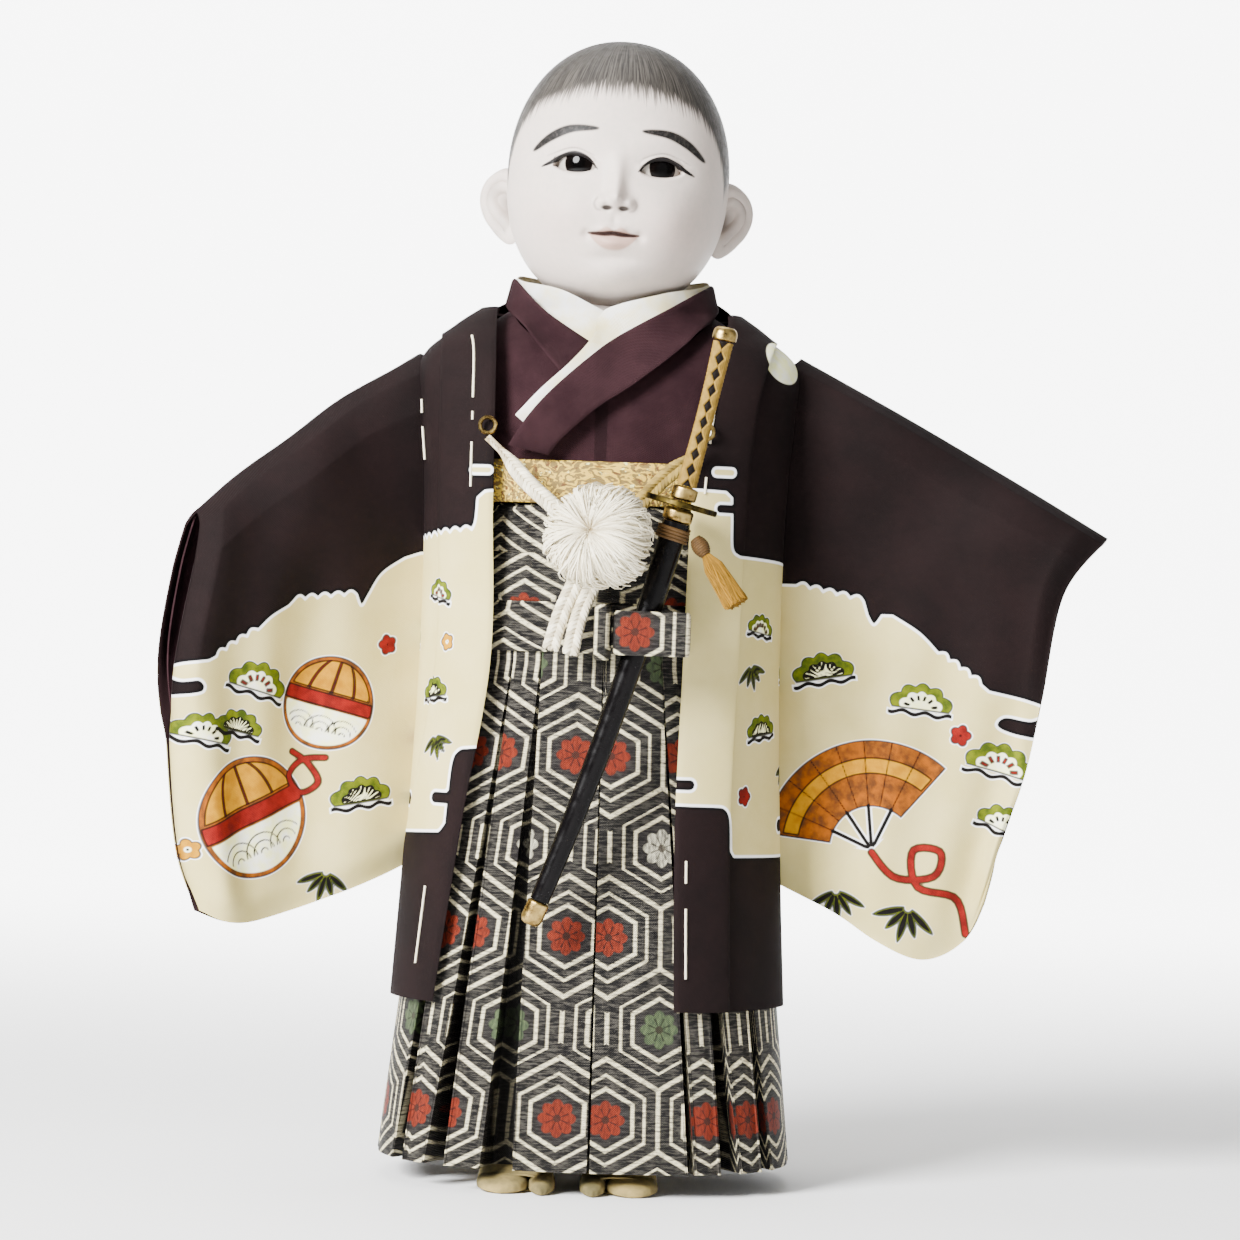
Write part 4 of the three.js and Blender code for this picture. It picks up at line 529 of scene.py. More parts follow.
# Core ball under the threads, painted dark as the shade in the pompom's middle
build("pompom_heart", verts, faces, cord_silk, "ties",
      layers={"shade": np.full(len(verts), 0.1)})


# Tassel beside the scabbard
tassel_silk = strand_cloth("tassel_silk", (0.06, 0.028, 0.002, 1), (0.3, 0.15, 0.012, 1))
knot_silk = strand_cloth("tassel_knot_silk", rgb(64, 44, 26), rgb(158, 118, 66))
tassel_knot, tassel_skirt = place_of("tassel_knot"), place_of("tassel_skirt")
fall = unit(tassel_skirt - tassel_knot)
flank = unit(np.cross(fall, TO_BACK))
front = np.cross(fall, flank)
SKIRT, SKIRT_WIDE, KNOT_LONG = 21.0, 4.6, 7.0
tassel_top = tassel_knot - fall * (KNOT_LONG - 0.8) / 2


def round_fall(along, wide, turn):
    """Points round the tassel's own line."""
    around = flank * np.cos(turn)[..., None] + front * np.sin(turn)[..., None]
    return tassel_top + fall * along[..., None] + around * wide[..., None]


TASSEL_THREADS = 380
share = shares(THREAD_ROWS)[None]
turn = RNG.uniform(0, 2 * np.pi, TASSEL_THREADS)[:, None]
turn = turn + 0.25 * np.sin(4 * share + RNG.uniform(0, 6, (TASSEL_THREADS, 1)))
ring = np.sqrt(RNG.uniform(0.08, 1, TASSEL_THREADS))[:, None]
wide = SKIRT_WIDE * ring * (0.32 + 0.36 * smooth(0, 0.25, share) + 0.28 * share)
drop = KNOT_LONG + 0.2 + share * SKIRT * RNG.uniform(0.88, 0.99, TASSEL_THREADS)[:, None]
hair = round_fall(drop, wide, turn)
verts, faces = tubes(hair, 0.24, 4, (0.2, 1, 0.1))
build("tassel_threads", verts, faces, tassel_silk, "tassel", ["tassel_skirt"],
      layers={"shade": shade_of(verts, TASSEL_THREADS, 0.1, 0.8)})
lap = np.linspace(0, 2 * np.pi * 9, 260)
share = lap / lap[-1]
bulge = 0.7 + 2.0 * np.sin(np.pi * np.clip(0.1 + 0.86 * share, 0, 1)) ** 0.7
turns = round_fall(share * KNOT_LONG, bulge, lap)
verts, faces = tubes(turns[None], 0.45, 6, fall)
core = round_fall(np.linspace(-0.4, KNOT_LONG + 1, 20)[None] + 0 * lap[:24, None],
                  np.full((24, 20), 1.0) + 0.9 * np.sin(np.linspace(0, np.pi, 20)),
                  lap_of(24)[:, None] + np.zeros((24, 20)))
verts, faces = merge((verts, faces), shell(core, 0.5, ring=True))
build("tassel_knot_turns", verts, faces, knot_silk, "tassel", ["tassel_knot"],
      layers={"shade": RNG.uniform(0.2, 0.7, len(verts))})


# Sword, every piece bent on the same arc
SWORD_RADIUS, SWORD_LEAN, SWORD_TILT = 1150.0, math.radians(14), math.radians(1.9)
guard_at = place_of("sword_guard")
brass = metal("brass", (0.17, 0.105, 0.03, 1), (0.55, 0.39, 0.13, 1))
lacquer = Paint("lacquer", Specular_IOR_Level=0.1)
lacquer.colour(lacquer.mix(lacquer.noise(120, lacquer.place(), 3), rgb(7, 6, 7), rgb(18, 15, 16)))
lacquer.rough(lacquer.range(lacquer.noise(300, lacquer.place(), 4), 0.3, 0.7, 0.16, 0.3))


def sword_place(points):
    """From the sword's own frame at the guard to the doll's."""
    c, s = math.cos(SWORD_TILT), math.sin(SWORD_TILT)
    x, y, z = points[..., 0], points[..., 1], points[..., 2]
    return stacked(x, y * c - z * s, y * s + z * c) + guard_at


def arc(s):
    lean = SWORD_LEAN + s / SWORD_RADIUS
    outward = stacked(np.cos(lean), 0, -np.sin(lean))
    return SWORD_RADIUS * (outward - [math.cos(SWORD_LEAN), 0, -math.sin(SWORD_LEAN)]), outward


def arc_skin(s, wide, deep, sides=48, swell=None, ring=False):
    """Closed skin round the arc: distance, full width and full depth at each of its rows."""
    s, wide, deep = (np.asarray(v, float) for v in (s, wide, deep))
    angle = lap_of(sides)
    centre, outward = arc(s)
    half = wide[:, None] / 2
    back = deep[:, None] / 2
    if swell is not None:
        half = half + swell
        back = back + swell
    rows = centre[:, None] + outward[:, None] * (half * np.cos(angle))[..., None]
    rows = rows + TO_BACK * (back * np.sin(angle))[..., None]
    at = np.arange(len(s) * sides).reshape(len(s), sides)
    caps = [] if ring else [at[:1, ::-1].copy(), at[-1:].copy()]
    at = np.concatenate([at, at[:1]]) if ring else at
    nxt = np.roll(at, -1, 1)
    quads = np.stack([at[:-1], nxt[:-1], nxt[1:], at[1:]], -1).reshape(-1, 4)
    return sword_place(rows).reshape(-1, 3), [quads, *caps]


def rounded_run(start, end, count, wide, deep, round_start, round_end):
    """Rings from start to end whose ends are rounded over."""
    t = shares(count)
    s = start + (end - start) * (0.5 - 0.5 * np.cos(np.pi * t))
    a = np.clip(np.abs(s - start) / max(round_start, 1e-6), 0, 1)
    b = np.clip(np.abs(end - s) / max(round_end, 1e-6), 0, 1)
    keep = np.sqrt(np.clip(1 - (1 - a) ** 2, 0.02, 1)) * np.sqrt(np.clip(1 - (1 - b) ** 2, 0.02, 1))
    return s, wide * (0.55 + 0.45 * keep), deep * (0.55 + 0.45 * keep)


def fitting(name, node, body, *run):
    """A closed brass piece with rounded ends."""
    verts, faces = arc_skin(*rounded_run(*run))
    build(name, verts, faces, brass, body, [node])


# The scabbard's rows run up its hollow from the bottom, over the mouth and down its outside.
HOLLOW, SOCKET = (6.6, 3.2), (8.4, 5.0)
outside = np.linspace(6.6, 148.3, 70)
outside_wide = 9.6 * (1 - 0.28 * (outside - 1.45) / 156)
s = np.concatenate([np.linspace(129, 9.2, 36), [9.1, 6.6], outside])
wide = np.concatenate([np.full(36, HOLLOW[0]), np.full(2, SOCKET[0]), outside_wide])
deep = np.concatenate([np.full(36, HOLLOW[1]), np.full(2, SOCKET[1]), 0.875 * outside_wide])
verts, faces = arc_skin(s, wide, deep, 56)
build("scabbard_lacquer", verts, faces, lacquer.material, "torso", ["scabbard"])
s, wide, deep = rounded_run(1.5, 6.5, 14, 10.6, 9.3, 1.0, 1.0)
s, wide, deep = (np.concatenate([hole, rim]) for hole, rim in (
    (np.linspace(6.5, 1.5, 8), s), (np.full(8, SOCKET[0]), wide), (np.full(8, SOCKET[1]), deep)))
verts, faces = arc_skin(s, wide, deep, ring=True)
build("scabbard_mouth_ring", verts, faces, brass, "torso", ["scabbard_mouth"])
fitting("scabbard_end", "scabbard_end_cap", "torso", 148.5, 157.4, 20, 7.9, 7.0, 0.8, 3.0)
lap = shares(200)
wound_s = 10.45 + 2.3 * (2 * lap - 1)
centre, outward = arc(wound_s)
spin = 2 * np.pi * 4 * lap
wound = centre + outward * (5.35 * np.cos(spin))[:, None] + TO_BACK * (4.85 * np.sin(spin))[:, None]
verts, faces = tubes(sword_place(wound)[None], 0.62, 6, (0.3, 0.2, 1))
build("scabbard_cord_turns", verts, faces, knot_silk, "torso", ["scabbard_cord"],
      layers={"shade": np.full(len(verts), 0.5)})

angle = lap_of(96)
lobes = 13 * (1 - 0.055 * np.abs(np.sin(2 * angle)) ** 3)
# Share of the radius and height of each ring of the guard's outline
GUARD = [(0.33, 1.0), (0.86, 0.75), (0.9, 1.05), (0.98, 1.05), (1.0, 0.7)]
profile = GUARD + [(share, -high) for share, high in reversed(GUARD)]
centre, outward = arc(np.zeros(1))
down = np.cross(outward[0], TO_BACK)
plate = np.stack([
    outward[0] * (share * lobes * np.cos(angle))[:, None]
    + TO_BACK * (share * lobes * np.sin(angle))[:, None]
    + down * high
    for share, high in profile], 1)
at = np.arange(plate.shape[0] * plate.shape[1]).reshape(plate.shape[:2])
nxt = np.roll(at, -1, 0)
turned = np.roll(at, -1, 1)
faces = np.stack([at, nxt, np.roll(nxt, -1, 1), turned], -1).reshape(-1, 4)
guard_brass = metal("guard_brass", rgb(30, 25, 18), rgb(150, 126, 66), 0.34)
build("guard_plate", sword_place(plate).reshape(-1, 3), faces, guard_brass, "sword", ["sword_guard"],
      crease=28)
fitting("handle_ferrule", "sword_ferrule", "sword", -1.5, -6.4, 14, 9.2, 8.0, 0.8, 0.8)
fitting("handle_pommel", "sword_pommel", "sword", -59.2, -64.1, 16, 8.7, 7.5, 0.6, 2.6)

GRIP = (-6.8, -58.8)
s = np.linspace(*GRIP, 170)
angle = 2 * np.pi * np.arange(72) / 72
waist = 0.9 * np.sin(np.pi * (s - GRIP[0]) / (GRIP[1] - GRIP[0]))
across = 3.9 * np.cos(angle)[None] + 0 * s[:, None]
pitch = (GRIP[0] - GRIP[1]) / 9
on_face = np.where(np.sin(angle) < 0, 0.5, 0.0)[None]
lag = (s[:, None] - GRIP[0]) / pitch + on_face
off = (lag - np.floor(lag) - 0.5) * pitch
diamond = np.abs(off) / 2.5 + np.abs(across) / 2.4 - 1
bands = 0.10 * np.sin(2 * np.pi * (off + np.sign(np.sin(angle))[None] * across * 1.5) / 1.4)
raised = smooth(-0.12, 0.12, diamond) * (0.7 + 0.15 * smooth(1.6, 3.4, np.abs(across)) + bands)
verts, faces = arc_skin(s, 5.4 - waist, 4.6 - waist, 72, raised)
wrap_silk = Paint("wrap_silk", Roughness=0.6, Specular_IOR_Level=0.08)
thread = wrap_silk.noise(500, wrap_silk.place(), 3)
tape = wrap_silk.mix(thread, (0.09, 0.05, 0.006, 1), (0.32, 0.2, 0.04, 1))
ray = wrap_silk.mix(wrap_silk.noise(1400, wrap_silk.place()), rgb(10, 7, 5), rgb(34, 22, 14))
wrap_silk.colour(wrap_silk.mix(wrap_silk.inside("diamond", 0.1, -0.04), tape, ray))
wrap_silk.bump(thread, 0.0002, 0.5)
build("handle_wrap_tape", verts, faces, wrap_silk.material, "sword", ["sword_handle_wrap", "sword_handle"],
      layers={"diamond": diamond})


# Head: white shell-lime skin with painted hair, brows and lips
HEAD_X, HEAD_Z = -1.1, 320.5
HEAD_HALF_WIDE, HEAD_HALF_DEEP, HEAD_HALF_HIGH, HEAD_SQUARE = 41.0, 44.0, 49.5, 2.15
EYE_Z, EYE_X, EYE_IN, EYE_OUT = 49.0, 16.2, 8.0, 23.8
# Distance given to places that a painted shape doesn't reach
FAR = 99.0


def on_head(points):
    """From the head's own frame, which leans 2 degrees, to the doll's."""
    x, y, z = points[..., 0], points[..., 1], points[..., 2]
    c, s = math.cos(ROLL), math.sin(ROLL)
    return stacked(x * c + z * s + HEAD_X, y, z * c - x * s + HEAD_Z)


# Relief towards the viewer, the same on both sides: [x, z, height, half-width, half-height]
RELIEF = [
    [0, 36.2, 5.2, 3.3, 3.3], [0, 40, 2.7, 2.8, 4.5], [0, 46, 2.1, 3.0, 6], [5.0, 35.0, 2.7, 2.0, 2.0],
    [16, 49, -2.0, 10, 5.5], [17, 60, 0.8, 12, 5], [20, 31, 2.3, 10.5, 9.5], [2.6, 25.8, 0.9, 2.6, 1.2],
    [0, 25.3, 0.8, 6, 1.4], [0, 20.6, 1.9, 5.2, 2.0], [0, 29, -0.45, 1.2, 2.2], [9.6, 23.4, -1.3, 1.8, 1.8],
    [0, 15.4, -1.3, 8, 2.0], [0, 8.8, 2.2, 9, 5], [2.7, 32.6, -0.9, 1.2, 0.8],
]


def eye_lines(x):
    """Upper and lower edge of an eye opening at a distance from the face's middle."""
    share = np.clip((np.abs(x) - EYE_IN) / (EYE_OUT - EYE_IN), 0, 1)
    base = lerp(47.3, 48.4, share)
    lift = np.clip(1 - np.abs(2 * share - 0.95) ** 2.2, 0, 1)
    return base + 3.9 * lift**0.8, base - 2.2 * np.clip(4 * share * (1 - share), 0, 1) ** 0.75


def almond(x, z):
    """Signed distance to the eye openings, below 0 inside."""
    upper, lower = eye_lines(x)
    ends = np.maximum(EYE_IN - np.abs(x), np.abs(x) - EYE_OUT)
    return np.maximum(np.maximum(z - upper, lower - z) * 0.85, ends)


def mouth_line(x):
    return 23.8 + 0.35 * np.cos(np.pi * x / 3.4) * bell(x, 4) - 0.25 * (np.abs(x) / 9) ** 2


def relief(x, z):
    high = sum(h * bell(x - side * px, w) * bell(z - pz, t)
               for px, pz, h, w, t in RELIEF for side in ((1, -1) if px else (1,)))
    shut = bell(z - mouth_line(x), 0.55) * smooth(9.6, 7, np.abs(x))
    upper, lower = eye_lines(x)
    near = smooth(5.5, 9, np.abs(x)) * smooth(28, 23, np.abs(x))
    crease = bell(z - upper - 2.2, 0.55)
    lid = bell(z - upper - 0.9, 1.0)
    bag = bell(z - lower + 1.0, 1.1)
    return high - 1.3 * shut + near * (0.75 * lid + 0.35 * bag - 0.35 * crease)


def skull(turn, level):
    """Point of the head before its relief, with its girth."""
    tilt = np.pi * (level - 0.5)
    power = np.where(tilt > 0, 2 / 2.07, 2 / 2.35)
    girth = np.abs(np.cos(tilt)) ** power
    z = HEAD_HALF_HIGH * (1 + signed_power(np.sin(tilt), power))
    cheek = 0.55 * 2 * HEAD_HALF_HIGH
    forward = -9 * smooth(0, 1, (cheek - z) / cheek)
    x = HEAD_HALF_WIDE * girth * signed_power(np.sin(turn), 2 / HEAD_SQUARE)
    y = -HEAD_HALF_DEEP * girth * signed_power(np.cos(turn), 2 / HEAD_SQUARE) + forward
    return x, y, z, girth


def head_grid(columns, levels):
    lap = np.linspace(-np.pi, np.pi, columns, endpoint=False)
    turn = (lap - 0.5 * np.sin(lap))[:, None]
    even = shares(levels)
    crowd = np.sin(2 * np.pi * (even + 0.2)) - np.sin(0.4 * np.pi) * (1 - even * 2)
    level = np.clip(even + 0.05 * crowd, 0.004, 0.996)[None]
    x, y, z, girth = np.broadcast_arrays(*skull(turn, level))
    facing = smooth(0.1, 0.55, np.cos(turn)) * smooth(0.05, 0.4, girth)
    gap = almond(x, z)
    y = y - facing * relief(x, z) + facing * 5.0 * smooth(0.25, -0.9, gap)
    return stacked(x, y, z), np.broadcast_to(turn, x.shape), gap


points, head_turn, gap = head_grid(460, 400)
x, z = points[..., 0], points[..., 2]
at_front = np.cos(head_turn) > 0.2
from_middle = np.abs(np.degrees(head_turn) + 4)
hairline = np.interp(from_middle, [0, 22, 38, 52, 62, 70, 76, 84, 92, 104, 118, 180],
                     [75.3, 73.8, 71, 68, 62, 52, 42, 46, 50, 26, 16, 14])
hair = z - hairline


def stroke(x, z, points, width):
    """Signed distance to a brush stroke through points that thins at both ends."""
    share = shares(40)
    thick = width * np.sin(np.pi * np.clip(0.04 + 0.92 * share, 0, 1)) ** 0.6
    d = np.full(x.shape, FAR)
    for (px, pz), w in zip(through(points, share), thick):
        d = np.minimum(d, np.hypot(x - px, z - pz) - w)
    return d


aside = np.abs(x)
upper_lip = 24.2 + 1.9 * bell(aside - 2.8, 2.6) + 0.4 * smooth(8, 0, aside)
lower_lip = 17.9 + 5.6 * (aside / 9) ** 2.4
lips = np.where(z > mouth_line(x), z - upper_lip, lower_lip - z)
painted = {
    "brow": stroke(aside, z, [[30.9, 53.6], [25, 58.2], [17.8, 61.2], [8.2, 61.7]], 1.7),
    "lash": stroke(aside, z, [[7.4, 47.0], [11, 50.7], [16, 52.4], [21, 50.9], [24.6, 48.9], [27.6, 47.6]],
                   0.95),
    "crease": stroke(aside, z, [[8.6, 51.9], [16.7, 54.4], [26.1, 51.4]], 0.32),
    "lips": np.where(aside < 9.4, lips, FAR),
    "shut": stroke(x, z, [[-9.2, 23.9], [-4.5, 23.7], [0, 24.0], [4.5, 23.7], [9.2, 23.9]], 0.9),
    # Painted shadow: a thin dark line along the outside of each nose wing
    "nose_wing_shadow": stroke(aside, z, [[6.6, 36.6], [7.7, 34.6], [6.9, 32.6], [5.2, 32.0]], 0.42),
    # Painted shade in the nostrils
    "nostril_shade": np.minimum(np.hypot((aside - 3.0) / 2.0, (z - 33.0) / 0.85) - 1, FAR),
}
painted = {key: (np.where(at_front, d, FAR), FAR) for key, d in painted.items()}
painted["blush"] = np.where(at_front, bell(aside - 20, 12) * bell(z - 26, 11), 0), 0.0
painted["hair"] = hair, -40.0

head_skin, head_faces = shell(points, 1.6, ring=True)
height = np.linspace(-19.5, 22, 24)
lap = lap_of(64)[:, None]
girth = 17 + 2.5 * smooth(4, 22, height)
neck = stacked(girth * np.sin(lap), -girth * np.cos(lap), height)
neck_skin, neck_faces = shell(neck, 1.5, ring=True)


def ear(side):
    """Outer ear as a disc with a rolled rim, a fold inside it, a bowl and a lobe, returned with the painted
    shade of its bowl and groove.
    """
    turn = lap_of(120)[:, None]
    r = np.linspace(0.02, 1, 46)[None]
    up, out = np.sin(turn), np.cos(turn)
    tall = np.where(up > 0, 12.4, 13.4)
    wide = (9.6 + 3.0 * up - 1.1 * up**2) * np.where(out > 0, 1, 0.7)
    p, q = wide * r * out, tall * r * up
    rim = smooth(-0.75, 0.1, up + 0.35 * out) * bell(r - 0.88, 0.09)
    fold = bell(r - 0.6 - 0.06 * np.sin(2 * turn), 0.1) * smooth(-0.5, 0.3, out + 0.5 * up)
    bowl = bell(p - 0.6, 3.2) * bell(q + 0.5, 5.5)
    knob = bell(p + 5.2, 1.5) * bell(q + 2.5, 2.6)
    high = 2.5 * rim + 1.8 * fold - 3.4 * bowl + 1.5 * knob + 1.2 * np.sqrt(np.clip(1 - r**2, 0, 1))
    flare = math.radians(33)
    lean = math.radians(12)
    a = p * math.cos(lean) + q * math.sin(lean)
    b = q * math.cos(lean) - p * math.sin(lean)
    x = 39.4 + a * math.cos(flare) + high * math.sin(flare)
    y = 4.5 + a * math.sin(flare) - high * math.cos(flare)
    # Painted shade, dark in the bowl and along the groove inside the rim
    groove = bell(r - 0.74, 0.08) * smooth(-0.4, 0.4, out + 0.5 * up)
    return stacked(side * x, y, 36.2 + b), np.clip(bowl + groove, 0, 1)


parts = [(head_skin, head_faces), (neck_skin, neck_faces)]
hollow_shades = [np.zeros(len(head_skin) + len(neck_skin))]
for side in (1, -1):
    disc, hollow_shade = ear(side)
    parts.append(shell(disc, 2.0, ring=True, flip=side < 0))
    hollow_shades.append(twice(hollow_shade))
verts, faces = merge(*parts)
extra = len(verts) - len(head_skin)
layers = {"hollow_shade": np.concatenate(hollow_shades)}
for key, (values, elsewhere) in painted.items():
    layers[key] = np.concatenate([twice(values), np.full(extra, elsewhere)])

skin = Paint("skin", Specular_IOR_Level=0.2)
fine = skin.noise(400, skin.place(), 4)
tone = skin.mix(fine, rgb(214, 210, 206), rgb(220, 216, 212))
tone = skin.mix(skin.times(skin.layer("blush"), 0.22), tone, rgb(208, 184, 177))
# Painted shade in the ears' bowls and grooves
tone = skin.mix(skin.times(skin.layer("hollow_shade"), 0.8), tone, rgb(104, 88, 80))
streak = skin.noise(1, skin.cloth((1.4, 0.06, 0)), 4, 0.6)
coarse = skin.noise(1, skin.cloth((0.16, 0.014, 0)), 2)
edge = skin.math("MULTIPLY_ADD", streak, 16.0, -8.0)
fade = skin.range(skin.math("ADD", skin.layer("hair"), edge), -2.0, 5.0)
strand = skin.ramp(streak, 0.36, 0.64, rgb(50, 45, 41), rgb(134, 126, 118))
strand = skin.mix(skin.range(coarse, 0.35, 0.7, 0.0, 0.35), strand, rgb(58, 54, 52))
tone = skin.mix(fade, tone, strand)
hair_fine = skin.noise(1, skin.place((900, 900, 900)), 2)
brow_share = skin.times(skin.inside("brow", 0.45), skin.range(hair_fine, 0.1, 0.6, 0.93, 1.0))
tone = skin.mix(brow_share, tone, rgb(36, 33, 32))
for key, soft, grow, share, colour in (
    ("lips", 0.6, -0.2, 0.62, rgb(203, 172, 158)), ("shut", 0.3, 0.0, 0.95, rgb(62, 38, 34)),
    # Painted shadow at the nose wings and painted shade in the nostrils
    ("nose_wing_shadow", 0.5, 0.0, 0.5, rgb(112, 92, 84)), ("nostril_shade", 0.35, 0.0, 0.95, rgb(40, 27, 24)),
    ("crease", 0.3, 0.0, 0.6, rgb(138, 126, 120)), ("lash", 0.22, 0.0, 1.0, rgb(26, 20, 20)),
):
    tone = skin.mix(skin.times(skin.inside(key, soft, grow), share), tone, colour)
skin.colour(tone)
skin.rough(skin.range(fine, 0.3, 0.7, 0.42, 0.55))
skin.bump(skin.math("MULTIPLY_ADD", skin.times(fade, streak), 2.0, fine), 0.00012, 0.5)
down = np.linalg.norm(np.diff(points, axis=1, prepend=points[:, :1]), axis=-1).cumsum(1)
uv = np.concatenate([cloth_map(40 * head_turn, down), np.zeros((extra, 2))])
build("head_skin", on_head(verts), faces, skin.material, "head", ["head"], uv, layers, 60)

# Glass eyes: white, dark iris and pupil, under a clear shine
eye_glass = Paint("eye_glass", Roughness=0.07, Specular_IOR_Level=0.1)
white = eye_glass.mix(eye_glass.noise(260, eye_glass.place(), 3), rgb(186, 181, 177), rgb(214, 210, 206))
brown = eye_glass.mix(eye_glass.range(eye_glass.layer("ring"), 1.6, 4.8), rgb(5, 4, 4), rgb(18, 12, 10))
eye_glass.colour(eye_glass.mix(eye_glass.range(eye_glass.layer("ring"), 5.5, 5.0), white, brown))
BALL, EYE_SUNK, GAZE_ASIDE, EYE_TURN, EYE_LEVEL = 11.0, 1.8, 1.2, 0.36, 0.497
for side, name in ((1, "left_eye"), (-1, "right_eye")):
    turn = math.asin((EYE_X / HEAD_HALF_WIDE) ** (HEAD_SQUARE / 2))
    front = np.array([side * EYE_X, float(skull(np.array(turn), np.array(EYE_LEVEL))[1]), EYE_Z])
    outward = np.array([side * math.sin(EYE_TURN), -math.cos(EYE_TURN), 0])
    at = front - outward * (BALL + EYE_SUNK)
    gaze = unit(front + [GAZE_ASIDE, 0, 0.2] - at)
    flat = unit(np.cross(gaze, [0, 0, 1]))
    polar = np.linspace(0.004, 1.15, 50)[None]
    lap = lap_of(72)[:, None]
    ball = (gaze * np.cos(polar)[..., None] + flat * (np.sin(polar) * np.cos(lap))[..., None]
            + np.cross(flat, gaze) * (np.sin(polar) * np.sin(lap))[..., None]) * BALL
    ring = np.broadcast_to(BALL * np.sin(polar), ball.shape[:2])
    verts, faces = shell(ball + at, 1.0, ring=True)
    build(name + "_glass", on_head(verts), faces, eye_glass.material, "head", [name],
          layers={"ring": twice(ring)})


# Clothes: the rounded forms the cloth is wrapped round, as in the CAD part
SQUARE = 2.6
COAT = {
    "height": [67, 129.9, 190, 245, 280, 300, 312, 319],
    "width": [72, 68.5, 66.5, 67, 70, 70, 57, 47],
    "front": [58, 57, 56, 55.5, 54, 46, 36, 28],
    "back": [52, 51, 50, 50, 47, 41, 34.5, 28],
}
HAKAMA = {
    "height": [9, 67, 129.9, 190, 246.5],
    "width": [75, 69, 62, 54, 47],
    "front": [59, 54.5, 52.5, 50.5, 48.5],
    "back": [55, 47, 45.5, 44, 44],
}
LEFT_EDGE = [30.5, 28.7, 29.5, 30.5, 33, 37, 41, 43]
RIGHT_EDGE = [-55, -47, -38.5, -39.5, -40, -40.5, -41, -41]
COLLAR_WIDE = 20
# How far the kimono lies inside the coat's form, at the sides and in depth
KIMONO_IN, KIMONO_DEEP = 9.5, 6


def station(form, z):
    t = shares(2001)
    return np.interp(z, through(form["height"], t), t)


def wrap(form, t, turn, wide=0.0, deep=None):
    """Point on a form at a share of its height and a turn from its front, lifted outwards."""
    deep = wide if deep is None else deep
    t, turn, wide, deep = np.broadcast_arrays(t, turn, wide, deep)
    s, c = (signed_power(part, 2 / SQUARE) for part in (np.sin(turn), np.cos(turn)))
    x = (through(form["width"], t) + wide) * s
    reach = np.where(c > 0, through(form["front"], t), through(form["back"], t)) + deep
    return stacked(x, -reach * c, through(form["height"], t))


def turn_of(form, t, x):
    """Turn from the front at which a form is this far aside."""
    share = np.clip(np.abs(x) / through(form["width"], t), 0, 1)
    return np.sign(x) * np.arcsin(share ** (SQUARE / 2))


def kimono_front(x, z, lift):
    t = station(COAT, z)
    half = through(COAT["width"], t) - KIMONO_IN + lift
    deep = through(COAT["front"], t) - KIMONO_DEEP + lift
    return -deep * np.clip(1 - (np.abs(x) / half) ** SQUARE, 0, 1) ** (1 / SQUARE)


def cloth(name, parts, material, body, nodes, uv, layers=None):
    """A sheet of cloth made of one or more shells."""
    verts, faces = merge(*parts)
    piece = build(name, verts, faces, material, body, nodes, uv, layers, 50)
    return piece


